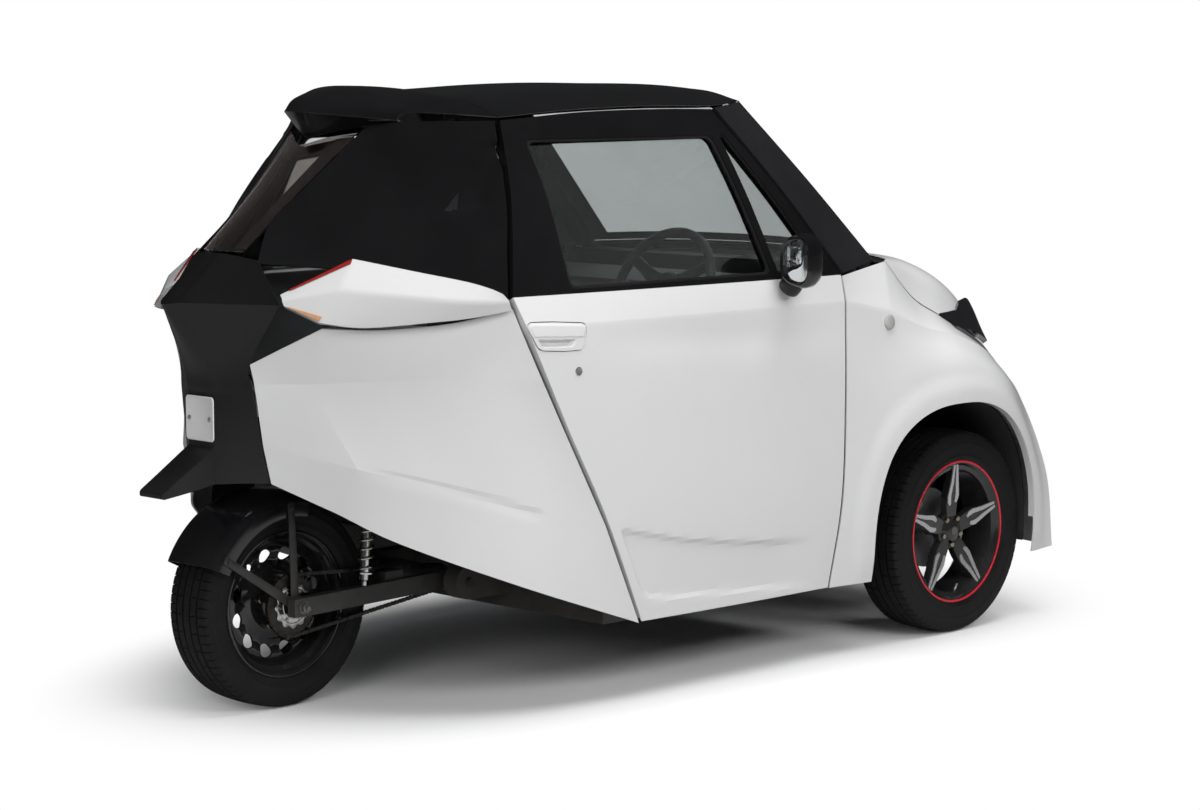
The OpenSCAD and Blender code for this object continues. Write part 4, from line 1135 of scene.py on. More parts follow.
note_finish(other_side(foot, "mirror_foot_left", "door_left"), "black_plastic")


# ---- Tyres ----
# Radial road tyres: four grooves round the tread, short cuts across its
# shoulders, and plain side walls with a guard rib beside the rim.
def revolve(name, profile, angles, centre, material, body, closed=True, radius_change=None):
    # profile is (radius, offset along the axle); the axle is the Y direction
    verts, quads = [], []
    for a in angles:
        for k, (r, w) in enumerate(profile):
            r += radius_change(a, r, w) if radius_change else 0
            verts.append(Vector(centre) + Vector((r * math.cos(a), w, r * math.sin(a))))
    n, m = len(profile), len(angles)
    for i in range(m):
        i2 = (i + 1) % m
        for j in range(n if closed else n - 1):
            j2 = (j + 1) % n
            quads.append([i * n + j, i2 * n + j, i2 * n + j2, i * n + j2])
    obj = piece(name, verts, quads, material, body)
    work = bmesh.new()
    work.from_mesh(obj.data)
    bmesh.ops.recalc_face_normals(work, faces=work.faces)
    work.to_mesh(obj.data)
    work.free()
    return obj


def sharp_shade(obj, angle=35):
    work = bmesh.new()
    work.from_mesh(obj.data)
    for edge in work.edges:
        if len(edge.link_faces) == 2 and edge.calc_face_angle(0) > math.radians(angle):
            edge.smooth = False
    work.to_mesh(obj.data)
    work.free()
    return obj


front_axle = (0.915, 0.5825, 0.291)
rear_axle = (-1.085, 0.0, 0.266)


def tyre_profile(outer, rim):
    crown = []
    groove_depth, groove_half = 0.0062, 0.0032
    for y in np.linspace(-0.066, 0.066, 25):
        crown.append((outer - 0.0030 * (y / 0.066) ** 2, y))
    cut = []
    for g in (-0.040, -0.0135, 0.0135, 0.040):
        top = outer - 0.0030 * (g / 0.066) ** 2
        crown = [p for p in crown if abs(p[1] - g) > groove_half + 0.0012]
        cut += [(top, g - groove_half), (top - groove_depth, g - groove_half * 0.6),
                (top - groove_depth, g + groove_half * 0.6),
                (top, g + groove_half)]
    crown = sorted(crown + cut, key=lambda p: p[1])
    wall_mid = rim + (outer - rim) * 0.52
    wall = [(outer - 0.0050, 0.0695), (outer - 0.0095, 0.0725), (outer - 0.0150, 0.0742),
            (outer - 0.0155, 0.0736),
            (outer - 0.022, 0.0752), (wall_mid + 0.006, 0.0768), (wall_mid + 0.0052, 0.0775),
            (wall_mid + 0.0035, 0.0775),
            (wall_mid + 0.0027, 0.0768), (wall_mid - 0.008, 0.0768), (rim + 0.024, 0.0762),
            (rim + 0.0205, 0.0760),
            (rim + 0.0190, 0.0775), (rim + 0.0150, 0.0775), (rim + 0.0130, 0.0752), (rim + 0.007, 0.0730),
            (rim + 0.0022, 0.0695), (rim + 0.0008, 0.060), (rim - 0.0060, 0.0585)]
    return [(r, -w) for r, w in wall[::-1]] + crown + wall


pitch = math.radians(5)
tread_angles = [pitch * k + math.radians(d) for k in range(72) for d in (0, 0.32, 0.64, 2.8)]


def shoulder_cuts(outer):
    def change(a, r, w):
        part = math.degrees(a) % 5
        in_cut = abs(part - 0.32) < 0.1
        if r > outer - 0.012 and abs(w) > 0.0445 and in_cut:
            return -0.0042
        if r > outer - 0.004 and 0.018 < abs(w) < 0.036 and in_cut and round(math.degrees(a) // 5) % 2 == 0:
            return -0.0032
        return 0
    return change


for tag, centre, outer, rim, body in (
        ("front_tyre_right", (front_axle[0], -front_axle[1], front_axle[2]), 0.291, 0.202, "front_wheel_right"),
        ("front_tyre_left", (front_axle[0], front_axle[1], front_axle[2]), 0.291, 0.202, "front_wheel_left"),
        ("rear_tyre", rear_axle, 0.266, 0.188, "rear_wheel")):
    tyre = revolve(f"{tag}_rubber", tyre_profile(outer, rim), tread_angles, centre, rubber, body,
                   radius_change=shoulder_cuts(outer))
    sharp_shade(tyre, 32)
    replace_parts(tyre, tag)
    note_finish(tyre, "tyre")


# ---- Front alloy wheels ----
# Cast wheels with five split spokes. The faces are machined bright over black
# paint, and a red ring runs round the rim's edge.
wheel_black = finish("wheel_black_paint", (0.010, 0.010, 0.011), 0.22, drift=0.25, drift_scale=12, grain=0.06,
                     grain_scale=900, dust=0.06, dust_top=0.6, Coat_Weight=0.5, Coat_Roughness=0.08)
ring_red = finish("rim_red_enamel", (0.62, 0.012, 0.028), 0.3, drift=0.1, drift_scale=20, grain=0.05,
                  Coat_Weight=0.6)
nut_brass = finish("nut_plating", (0.55, 0.49, 0.36), 0.3, drift=0.1, drift_scale=60, Metallic=1.0)
smooth_angles = list(np.linspace(0, 2 * math.pi, 128, endpoint=False))


def bar_solid(name, outline_low, outline_high, material, body, to_world, bevel=0.0008):
    # a solid between two outlines of the same count, in wheel coordinates
    rings = [[to_world(p) for p in outline_low], [to_world(p) for p in outline_high]]
    obj = loft(name, rings, material, body, smooth=True)
    rounded(obj, bevel, 2, 25)
    return obj


def merged(name, objects):
    # joins finished solids of one finish into one piece
    body = objects[0]["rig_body"]
    work = bmesh.new()
    depsgraph = bpy.context.evaluated_depsgraph_get()
    for o in objects:
        evaluated = o.evaluated_get(depsgraph).to_mesh()
        work.from_mesh(evaluated)
        o.evaluated_get(depsgraph).to_mesh_clear()
    mesh = bpy.data.meshes.new(name)
    work.to_mesh(mesh)
    work.free()
    mesh.materials.append(objects[0].data.materials[0])
    mesh.polygons.foreach_set("use_smooth", [True] * len(mesh.polygons))
    obj = bpy.data.objects.new(name, mesh)
    bpy.context.scene.collection.objects.link(obj)
    for o in objects:
        bpy.data.objects.remove(o)
    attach(obj, body)
    sharp_shade(obj, 30)
    return obj


def face_at(r):
    # how far the spoke faces stand out from the wheel's middle
    return 0.050 + 0.012 * step_up((r - 0.05) / 0.14)


def front_wheel(tag, sign, body):
    centre = Vector((front_axle[0], sign * front_axle[1], front_axle[2]))

    def seat(a):
        c, s = math.cos(a), math.sin(a)
        return lambda p: centre + Vector((p[0] * c - p[1] * s, sign * p[2], p[0] * s + p[1] * c))

    barrel_profile = [(0.202, -0.0675), (0.202, -0.0615), (0.193, -0.0595), (0.180, -0.045), (0.180, 0.040),
                      (0.193, 0.0595),
                      (0.202, 0.0615), (0.2025, 0.0670), (0.2015, 0.0685), (0.1975, 0.0685), (0.1950, 0.0660),
                      (0.1900, 0.0590),
                      (0.1775, 0.0540), (0.1740, 0.0400), (0.1740, -0.045), (0.1870, -0.0590),
                      (0.1960, -0.0675)]
    rim = revolve(f"front_rim_{tag}_barrel", [(r, sign * w) for r, w in barrel_profile], smooth_angles, centre,
                  wheel_black, body)
    rounded(rim, 0.0012, 2, 25)
    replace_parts(rim, f"front_rim_{tag}")
    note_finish(rim, "black_steel")
    ring_profile = [(0.1985, 0.0680), (0.1990, 0.0700), (0.2008, 0.0712), (0.2035, 0.0712), (0.2050, 0.0700),
                    (0.2052, 0.0680)]
    ring = revolve(f"front_rim_{tag}_ring", [(r, sign * w) for r, w in ring_profile], smooth_angles, centre,
                   ring_red, body)
    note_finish(ring, "lamp_red")
    arms, faces = [], []
    for k in range(5):
        a = math.pi / 2 + 2 * math.pi * k / 5
        to_world = seat(a)
        kite = [(0.192, -0.0105), (0.192, 0.0105), (0.140, 0.0182), (0.101, 0.0262), (0.074, 0.0245),
                (0.040, 0.0200),
                (0.040, -0.0200), (0.074, -0.0245), (0.101, -0.0262), (0.140, -0.0182)]
        arms.append(bar_solid(f"arm_{k}", [(r, t * 0.95, face_at(r) - 0.028) for r, t in kite],
                              [(r, t, face_at(r) - 0.0035) for r, t in kite], wheel_black, body, to_world,
                              0.0015))
        for s, end in ((1, 0.073), (-1, 0.080)):
            outer = [(0.1935, s * 0.0098), (0.140, s * 0.0172), (0.101, s * 0.0250), (end + 0.010, s * 0.0222),
                     (end, s * 0.0150)]
            inner = [(0.1935, s * 0.0012), (0.140, s * 0.0042), (0.106, s * 0.0098), (end + 0.014, s * 0.0086),
                     (end + 0.004, s * 0.0066)]
            outline = outer + inner[::-1]
            faces.append(bar_solid(f"face_{k}_{s}", [(r, t, face_at(r) - 0.010) for r, t in outline],
                                   [(r, t, face_at(r)) for r, t in outline], bare_silver, body, to_world,
                                   0.0012))
    hub_profile = [(0.0, 0.0), (0.052, 0.020), (0.054, 0.040), (0.050, 0.0455), (0.031, 0.0470),
                   (0.030, 0.0535),
                   (0.027, 0.0560), (0.010, 0.0568), (0.0, 0.0570)]
    hub = revolve(f"front_rim_{tag}_hub", [(r, sign * w) for r, w in hub_profile], smooth_angles[::2], centre,
                  wheel_black,
                  body, closed=False)
    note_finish(hub, "black_steel")
    spokes = merged(f"front_rim_{tag}_arms", arms)
    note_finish(spokes, "black_steel")
    bright = merged(f"front_rim_{tag}_faces", faces)
    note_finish(bright, "bare_alloy")
    nuts = []
    for k in range(5):
        a = math.pi / 2 + 2 * math.pi * (k + 0.5) / 5
        to_world = seat(a)
        rings = [[to_world((0.0405 + r * math.cos(b), r * math.sin(b), w))
                  for b in np.linspace(0, 2 * math.pi, 6, endpoint=False)]
                 for r, w in ((0.0085, 0.040), (0.0085, 0.0515), (0.0068, 0.0535))]
        nuts.append(loft(f"nut_{k}", rings, nut_brass, body, smooth=False))
    valve_seat = seat(-math.pi / 2 + 0.06)
    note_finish(merged(f"front_rim_{tag}_nuts", nuts), "bare_alloy")
    rings = [[valve_seat((0.178 - h, r * math.cos(b), 0.0500 + r * math.sin(b) + h * 0.5))
              for b in np.linspace(0, 2 * math.pi, 12, endpoint=False)]
             for r, h in ((0.0042, 0), (0.0042, 0.012), (0.0034, 0.013), (0.0034, 0.024), (0.0020, 0.025))]
    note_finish(loft(f"front_rim_{tag}_valve", rings, bare_silver, body), "bare_alloy")


front_wheel("right", -1, "front_wheel_right")
front_wheel("left", 1, "front_wheel_left")

# caliper on each knuckle, and the disc with its knuckle as made
caliper_grey = finish("cast_caliper", (0.16, 0.16, 0.165), 0.55, drift=0.2, drift_scale=30, grain=0.5,
                      grain_scale=900)
worn_steel = finish("worn_steel", (0.20, 0.20, 0.205), 0.38, drift=0.25, drift_scale=14, grain=0.2,
                    grain_scale=700,
                    dust=0.2, dust_top=0.5, Metallic=0.8)
set_finish(worn_steel, "knuckle_right", "knuckle_left")
for tag, sign in (("right", -1), ("left", 1)):
    rings = []
    for w, grow in ((0.522, -0.004), (0.525, 0), (0.556, 0), (0.559, -0.004)):
        ring = []
        for a in np.linspace(math.radians(118), math.radians(166), 10):
            ring.append((front_axle[0] + (0.128 + grow) * math.cos(a), sign * w,
                         front_axle[2] + (0.128 + grow) * math.sin(a)))
        for a in np.linspace(math.radians(164), math.radians(120), 10):
            ring.append((front_axle[0] + (0.078 - grow) * math.cos(a), sign * w,
                         front_axle[2] + (0.078 - grow) * math.sin(a)))
        rings.append(ring)
    caliper = rounded(loft(f"caliper_{tag}", rings, caliper_grey, f"knuckle_{tag}"), 0.003)
    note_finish(caliper, "steel")


# ---- Rear wheel ----
# A pressed steel wheel painted gloss black. Its dished disc has twelve round
# vents with turned in edges, and the hub in its middle carries the sprocket.
def wheel_point(r, a, w):
    return Vector(rear_axle) + Vector((r * math.cos(a), -w, r * math.sin(a)))


rim_paint = finish("rim_gloss_black", (0.006, 0.006, 0.007), 0.13, drift=0.3, drift_scale=9, grain=0.05,
                   grain_scale=500,
                   dust=0.05, dust_top=0.5, Coat_Weight=0.8, Coat_Roughness=0.05)
rear_barrel = [(0.188, -0.0675), (0.188, -0.0615), (0.179, -0.0595), (0.166, -0.045), (0.166, 0.018),
               (0.166, 0.040),
               (0.179, 0.0595), (0.188, 0.0615), (0.1885, 0.0670), (0.1875, 0.0685), (0.1835, 0.0685),
               (0.1810, 0.0660),
               (0.1775, 0.0620), (0.1760, 0.0560), (0.1740, 0.0500), (0.1620, 0.0440), (0.1600, 0.0360),
               (0.1600, -0.045),
               (0.1730, -0.0590), (0.1820, -0.0675)]
barrel = revolve("rear_rim_barrel", [(r, -w) for r, w in rear_barrel], smooth_angles, rear_axle, rim_paint,
                 "rear_wheel")
rounded(barrel, 0.001, 2, 25)
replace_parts(barrel, "rear_rim")
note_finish(barrel, "black_steel")


def dish(r):
    # the disc stands out between the vents and the hub, and curls at the rim
    t = (r - 0.045) / 0.115
    return 0.030 - 0.012 * step_up((r - 0.078) / 0.030) + 0.010 * step_up((r - 0.112) / 0.02) - 0.012 * step_up((r - 0.140) / 0.020)


vents, vent_r, vent_half = 12, 0.126, 0.0165
verts, quads = [], []
ring_count = 32
for k in range(vents):
    mid = 2 * math.pi * (k + 0.5) / vents
    half_turn = math.pi / vents
    start = len(verts)
    levels = [(1.0, 0.0058), (1.03, 0.0022), (1.10, 0.0003), (1.22, 0.0), (None, 0)]
    for level, sink in levels:
        for j in range(ring_count):
            b = 2 * math.pi * j / ring_count
            cx, cy = math.cos(b), math.sin(b)
            if level is None:
                stretch = 1 / max(abs(cx), abs(cy))
                r = vent_r + cx * stretch * 0.030
                a = mid + cy * stretch * half_turn
            else:
                r = vent_r + cx * vent_half * level
                a = mid + cy * vent_half * 1.12 * level / vent_r
            verts.append(wheel_point(r, a, dish(r) - sink))
    for i in range(len(levels) - 1):
        for j in range(ring_count):
            j2 = (j + 1) % ring_count
            quads.append([start + i * ring_count + j, start + i * ring_count + j2,
                          start + (i + 1) * ring_count + j2, start + (i + 1) * ring_count + j])
for radii in (np.linspace(0.043, vent_r - 0.030, 6), np.linspace(vent_r + 0.030, 0.1605, 3)):
    start, count = len(verts), vents * 8
    for r in radii:
        verts += [wheel_point(r, 2 * math.pi * j / count, dish(r)) for j in range(count)]
    for i in range(len(radii) - 1):
        for j in range(count):
            j2 = (j + 1) % count
            quads.append([start + i * count + j, start + i * count + j2, start + (i + 1) * count + j2,
                          start + (i + 1) * count + j])
disc = piece("rear_rim_disc", verts, quads, rim_paint, "rear_wheel")
work = bmesh.new()
work.from_mesh(disc.data)
bmesh.ops.remove_doubles(work, verts=work.verts, dist=0.0004)
bmesh.ops.recalc_face_normals(work, faces=work.faces)
if sum(f.normal.y for f in work.faces) > 0:
    bmesh.ops.reverse_faces(work, faces=work.faces)
work.to_mesh(disc.data)
work.free()
thicken(disc, 0.0035, 0.0006, 40)
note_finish(disc, "black_steel")
hub_profile = [(0.0, -0.060), (0.038, -0.060), (0.044, -0.054), (0.045, 0.020), (0.049, 0.024), (0.049, 0.034),
               (0.045, 0.038),
               (0.044, 0.078), (0.040, 0.083), (0.029, 0.086), (0.029, 0.0955), (0.014, 0.0965), (0.0, 0.0965)]
hub = revolve("rear_hub", [(r, -w) for r, w in hub_profile], smooth_angles[::2], rear_axle, rim_paint,
              "rear_wheel", closed=False)
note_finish(hub, "black_steel")
sharp_shade(hub, 30)
nuts = []
for k in range(5):
    a = 2 * math.pi * (k + 0.3) / 5
    mid = wheel_point(0.062, a, 0)
    rings = [[mid + Vector((r * math.cos(b), -w, r * math.sin(b)))
              for b in np.linspace(0, 2 * math.pi, 6, endpoint=False)]
             for r, w in ((0.0095, 0.028), (0.0095, 0.0425), (0.0075, 0.0445))]
    nuts.append(loft(f"rear_nut_{k}", rings, nut_brass, "rear_wheel", smooth=False))
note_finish(merged("rear_rim_nuts", nuts), "bare_alloy")


# ---- Sprocket and chain ----
# The driven sprocket is bare steel, cut out between its teeth and its bolts.
# The chain runs from it to the small sprocket inside the swing arm's pivot.
chain_steel = finish("oiled_chain", (0.045, 0.042, 0.038), 0.32, drift=0.4, drift_scale=60, grain=0.3,
                     grain_scale=1500,
                     dust=0.1, dust_top=0.6, Metallic=0.85)
polished_steel = finish("polished_steel", (0.66, 0.66, 0.67), 0.22, drift=0.08, drift_scale=25, grain=0.15,
                        grain_scale=1200,
                        Metallic=1.0)
teeth, tooth_root, tooth_tip = 38, 0.0742, 0.0805
outline = []
for k in range(teeth):
    for part_turn, r in ((0.0, tooth_root), (0.18, tooth_root), (0.38, tooth_tip - 0.0008), (0.46, tooth_tip),
                         (0.60, tooth_tip),
                         (0.68, tooth_tip - 0.0008), (0.88, tooth_root)):
        outline.append((r, 2 * math.pi * (k + part_turn) / teeth))
rings = []
for scale, w in ((0.40, 0.0870), (0.86, 0.0870), (1.0, 0.0882), (1.0, 0.0918), (0.86, 0.0930), (0.66, 0.0930),
                 (0.64, 0.0945),
                 (0.60, 0.0945), (0.58, 0.0930), (0.40, 0.0930)):
    rings.append([wheel_point(r * scale if scale == 1.0 else 0.0775 * scale, a, w) for r, a in outline])
work_sprocket = loft("sprocket_teeth", rings + [rings[0]], chain_steel, "rear_wheel", capped=False)
sharp_shade(work_sprocket, 25)
rings = []
for r, w in ((0.030, 0.0932), (0.054, 0.0932), (0.056, 0.0940), (0.056, 0.0952), (0.054, 0.0960),
             (0.046, 0.0962), (0.044, 0.0950),
             (0.034, 0.0950), (0.032, 0.0962), (0.030, 0.0962)):
    rings.append([wheel_point(r + (0.0035 if r > 0.05 else 0) * math.cos(12 * a), a, w)
                  for a in np.linspace(0, 2 * math.pi, 120, endpoint=False)])
carrier = sharp_shade(loft("sprocket_carrier", rings + [rings[0]], polished_steel, "rear_wheel", capped=False),
                      25)
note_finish(carrier, "steel")
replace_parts(work_sprocket, "sprocket")
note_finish(work_sprocket, "steel")
bolts = []
for k in range(6):
    mid = wheel_point(0.0395, 2 * math.pi * k / 6, 0)
    rings = [[mid + Vector((r * math.cos(b), -w, r * math.sin(b)))
              for b in np.linspace(0, 2 * math.pi, 6, endpoint=False)]
             for r, w in ((0.0055, 0.0925), (0.0055, 0.0965), (0.0045, 0.0975))]
    bolts.append(loft(f"sprocket_bolt_{k}", rings, nut_brass, "rear_wheel", smooth=False))
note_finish(merged("sprocket_bolts", bolts), "steel")

pivot = (-0.590, 0.278)
axle_r, pivot_r = 0.0788, 0.0330


def chain_path(link):
    # points of the loop round both sprockets, one link's pitch apart
    ax, az = rear_axle[0], rear_axle[2]
    gap = math.hypot(pivot[0] - ax, pivot[1] - az)
    lean = math.atan2(pivot[1] - az, pivot[0] - ax)
    spread = math.acos((axle_r - pivot_r) / gap)
    pieces = []
    for a in np.linspace(lean + spread, lean + 2 * math.pi - spread, 200):
        pieces.append((ax + axle_r * math.cos(a), az + axle_r * math.sin(a)))
    for a in np.linspace(lean - spread, lean + spread, 80):
        pieces.append((pivot[0] + pivot_r * math.cos(a), pivot[1] + pivot_r * math.sin(a)))
    pieces.append(pieces[0])
    pieces = np.array(pieces)
    run = np.concatenate([[0], np.cumsum(np.linalg.norm(np.diff(pieces, axis=0), axis=1))])
    count = 2 * int(run[-1] / link / 2)
    marks = np.linspace(0, run[-1], count, endpoint=False)
    return np.stack([np.interp(marks, run, pieces[:, 0]), np.interp(marks, run, pieces[:, 1])], axis=1)


points = chain_path(0.0127)
verts, quads = [], []
for i, a in enumerate(points):
    b = points[(i + 1) % len(points)]
    along_link = (b - a) / np.linalg.norm(b - a)
    across = np.array([-along_link[1], along_link[0]])
    outer = i % 2 == 0
    offsets = ((0.0853, 0.0864), (0.0936, 0.0947)) if outer else ((0.0868, 0.0878), (0.0922, 0.0932))
    shape = []
    for end, sign in ((a, -1), (b, 1)):
        for t in (-90, -45, 0, 45, 90):
            ang = math.radians(t)
            shape.append(end + sign * along_link * 0.0050 * math.cos(ang) + across * 0.0050 * math.sin(ang) * sign)
        shape.append((a + b) / 2 + across * 0.0036 * sign)
    for low_w, high_w in offsets:
        start, n = len(verts), len(shape)
        for w in (low_w, high_w):
            verts += [Vector((q[0], -w, q[1])) for q in shape]
        for j in range(n):
            j2 = (j + 1) % n
            quads.append([start + j, start + j2, start + n + j2, start + n + j])
        quads.append([start + j for j in range(n)][::-1])
        quads.append([start + n + j for j in range(n)])
    start = len(verts)
    for w, r in ((0.0850, 0.0018), (0.0950, 0.0018)):
        verts += [Vector((a[0] + r * math.cos(t), -w, a[1] + r * math.sin(t)))
                  for t in np.linspace(0, 2 * math.pi, 8, endpoint=False)]
    quads += [[start + j, start + (j + 1) % 8, start + 8 + (j + 1) % 8, start + 8 + j] for j in range(8)]
    quads.append([start + 8 + j for j in range(8)])
    start = len(verts)
    for w in (0.0878, 0.0922):
        verts += [Vector((a[0] + 0.0040 * math.cos(t), -w, a[1] + 0.0040 * math.sin(t)))
                  for t in np.linspace(0, 2 * math.pi, 10, endpoint=False)]
    quads += [[start + j, start + (j + 1) % 10, start + 10 + (j + 1) % 10, start + 10 + j] for j in range(10)]
chain = piece("chain_links", verts, quads, chain_steel, "body", smooth=False)
work = bmesh.new()
work.from_mesh(chain.data)
bmesh.ops.recalc_face_normals(work, faces=work.faces)
work.to_mesh(chain.data)
work.free()
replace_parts(chain, "chain")
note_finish(chain, "steel")


# ---- Swing arm and shock absorbers ----
# The arm is welded from box section and painted black, with the axle's nut
# and adjuster at its end. Each shock is a chromed rod in a brass coloured coil.
def tube(name, line, radius, material, body, sides=12, caps=True):
    line = [Vector(p) for p in line]
    rings = []
    side = None
    for i, p in enumerate(line):
        ahead = (line[min(i + 1, len(line) - 1)] - line[max(i - 1, 0)]).normalized()
        if side is None:
            side = ahead.orthogonal().normalized()
        side = (side - ahead * side.dot(ahead)).normalized()
        other = ahead.cross(side)
        r = radius[i] if isinstance(radius, (list, tuple)) else radius
        rings.append([p + r * (side * math.cos(a) + other * math.sin(a))
                      for a in np.linspace(0, 2 * math.pi, sides, endpoint=False)])
    return loft(name, rings, material, body, capped=caps)


def soften(node, width, sharpest=30):
    obj = bpy.data.objects[node]
    rounded(obj, width, 2, sharpest)
    return obj


arm_paint = finish("arm_paint", (0.007, 0.0075, 0.0085), 0.40, drift=0.35, drift_scale=10, grain=0.25,
                   grain_scale=900,
                   dust=0.22, dust_top=0.7)
set_finish(arm_paint, "swing_arm")
soften("swing_arm", 0.003)
for side_y in (-1, 1):
    mid = Vector((rear_axle[0], side_y * 0.139, rear_axle[2]))
    rings = []
    for r, w, sides in ((0.0, 0.0, 0), (0.0170, 0.0002, 0), (0.0170, 0.0025, 0), (0.0145, 0.0030, 6),
                        (0.0145, 0.0130, 6),
                        (0.0115, 0.0145, 6), (0.0072, 0.0147, 0), (0.0072, 0.0185, 0), (0.0062, 0.0195, 0),
                        (0.0, 0.0195, 0)):
        ring = []
        for b in np.linspace(0, 2 * math.pi, 24, endpoint=False):
            rr = r * (math.cos(math.pi / 6) / math.cos(((b + math.pi / 6) % (math.pi / 3)) - math.pi / 6)) if sides else r
            ring.append(mid + Vector((rr * math.cos(b), side_y * w, rr * math.sin(b))))
        rings.append(ring)
    nut = sharp_shade(loft(f"axle_nut_{'right' if side_y < 0 else 'left'}", rings, worn_steel, "body"), 30)
    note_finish(nut, "steel")

brass = finish("coil_plating", (0.78, 0.74, 0.64), 0.22, drift=0.12, drift_scale=50, grain=0.15,
               grain_scale=900, Metallic=1.0)
chrome = finish("chromed_rod", (0.72, 0.72, 0.73), 0.09, drift=0.04, drift_scale=30, Metallic=1.0)
for tag, side_y in (("right", -1), ("left", 1)):
    foot, top = Vector((-0.880, side_y * 0.130, 0.2965)), Vector((-0.850, side_y * 0.130, 0.6382))
    length = (top - foot).length
    axis = (top - foot).normalized()
    side = Vector((0, 1, 0))
    other = axis.cross(side).normalized()
    turns, steps = 8.5, 22
    line = []
    for i in range(int(turns * steps) + 1):
        t = i / (turns * steps)
        a = 2 * math.pi * i / steps
        eased = 0.105 + 0.595 * (0.5 * t + 0.5 * (t + 0.02 * math.sin(2 * math.pi * t)))
        line.append(foot + axis * length * eased + 0.0195 * (side * math.cos(a) + other * math.sin(a)))
    coil = tube(f"rear_shock_{tag}_coil", line, 0.0036, brass, "body", 8)
    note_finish(coil, "spring")
    if tag == "right":
        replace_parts(coil, "rear_shock")
    body_line = [(0.0, 0.0090), (0.03, 0.0090), (0.045, 0.0130), (0.085, 0.0130), (0.088, 0.0235),
                 (0.100, 0.0240), (0.104, 0.0145), (0.42, 0.0140)]
    damper = tube(f"rear_shock_{tag}_body", [foot + axis * length * t for t, r in body_line],
                  [r for t, r in body_line], chrome, "body", 24)
    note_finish(sharp_shade(damper, 30), "black_steel")
    rod_line = [(0.40, 0.0075), (0.70, 0.0075), (0.702, 0.0235), (0.722, 0.0235), (0.726, 0.0150),
                (0.90, 0.0145), (0.91, 0.0090), (1.0, 0.0090)]
    rod = tube(f"rear_shock_{tag}_rod", [foot + axis * length * t for t, r in rod_line],
               [r for t, r in rod_line], chrome, "body", 24)
    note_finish(sharp_shade(rod, 30), "steel")


# ---- Rear mudguard ----
# A moulded guard hugs the tyre's top with rounded shoulders. Two flat steel
# stays carry it from a plate at each end of the axle.
guard_black = finish("guard_gloss_black", (0.006, 0.006, 0.007), 0.2, drift=0.2, drift_scale=8, grain=0.06,
                     grain_scale=700,
                     dust=0.10, dust_top=0.5, Coat_Weight=0.4, Coat_Roughness=0.1)


def guard_ring(deg, thick):
    a = math.radians(deg)
    reach = 0.2275
    section = [(reach, 0.0985), (0.240, 0.1002), (0.262, 0.1003), (0.273, 0.0975), (0.280, 0.0900),
               (0.2845, 0.0770),
               (0.2870, 0.0500), (0.2880, 0.0200)]
    section = [(r, w) for r, w in section] + [(r, -w) for r, w in section[::-1]]
    return [wheel_point(r - thick * (1 if abs(w) < 0.09 else 0.35), a,
                        w * (1 - thick / 0.11 * (1 if abs(w) > 0.07 else 0)))
            for r, w in section]


steps_round = np.linspace(78, 154, 36)
outer = [guard_ring(d, 0) for d in steps_round]
inner = [guard_ring(d, 0.0030) for d in steps_round]
n = len(outer[0])
verts = [p for ring in outer + inner for p in ring]
quads = []
for i in range(len(outer) - 1):
    for j in range(n - 1):
        quads.append([i * n + j, i * n + j + 1, (i + 1) * n + j + 1, (i + 1) * n + j])
        o = len(outer) * n
        quads.append([o + i * n + j, o + (i + 1) * n + j, o + (i + 1) * n + j + 1, o + i * n + j + 1])
    for j in (0, n - 1):
        quads.append([i * n + j, (i + 1) * n + j, o + (i + 1) * n + j, o + i * n + j])
for i in (0, len(outer) - 1):
    for j in range(n - 1):
        quads.append([i * n + j, i * n + j + 1, o + i * n + j + 1, o + i * n + j])
guard = piece("rear_mudguard_shell", verts, quads, guard_black, "body")
work = bmesh.new()
work.from_mesh(guard.data)
bmesh.ops.recalc_face_normals(work, faces=work.faces)
work.to_mesh(guard.data)
work.free()
rounded(guard, 0.0012, 2, 35)
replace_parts(guard, "rear_mudguard")
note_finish(guard, "black_gloss")
stays = []
for side_y in (-1, 1):
    for deg in (92, 147):
        a = math.radians(deg)
        out, cross = Vector((math.cos(a), 0, math.sin(a))), Vector((-math.sin(a), 0, math.cos(a)))
        rings = []
        for r, half_wide in ((0.004, 0.014), (0.030, 0.0125), (0.20, 0.0105), (0.262, 0.0105), (0.266, 0.008)):
            mid = Vector(rear_axle) + out * r
            ring = []
            for u, w in ((-1, 0.1012), (1, 0.1012), (1, 0.1048), (-1, 0.1048)):
                ring.append(mid + cross * half_wide * u + Vector((0, side_y * w, 0)))
            rings.append(ring)
        stays.append(rounded(loft(f"stay_{side_y}_{deg}", rings, arm_paint, "body", smooth=False), 0.0008))
        mid = Vector(rear_axle) + out * 0.250
        rings = [[mid + Vector((r * math.cos(b), side_y * w, r * math.sin(b)))
                  for b in np.linspace(0, 2 * math.pi, 6, endpoint=False)]
                 for r, w in ((0.006, 0.104), (0.006, 0.1085), (0.005, 0.1093))]
        stays.append(loft(f"stay_bolt_{side_y}_{deg}", rings, arm_paint, "body", smooth=False))
    rings = [[Vector(rear_axle) + Vector((r * math.cos(b), side_y * w, r * math.sin(b)))
              for b in np.linspace(0, 2 * math.pi, 32, endpoint=False)]
             for r, w in ((0.0215, 0.1012), (0.0220, 0.1016), (0.0220, 0.1044), (0.0215, 0.1048))]
    stays.append(loft(f"stay_plate_{side_y}", rings, arm_paint, "body"))
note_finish(merged("rear_mudguard_stays", stays), "black_steel")


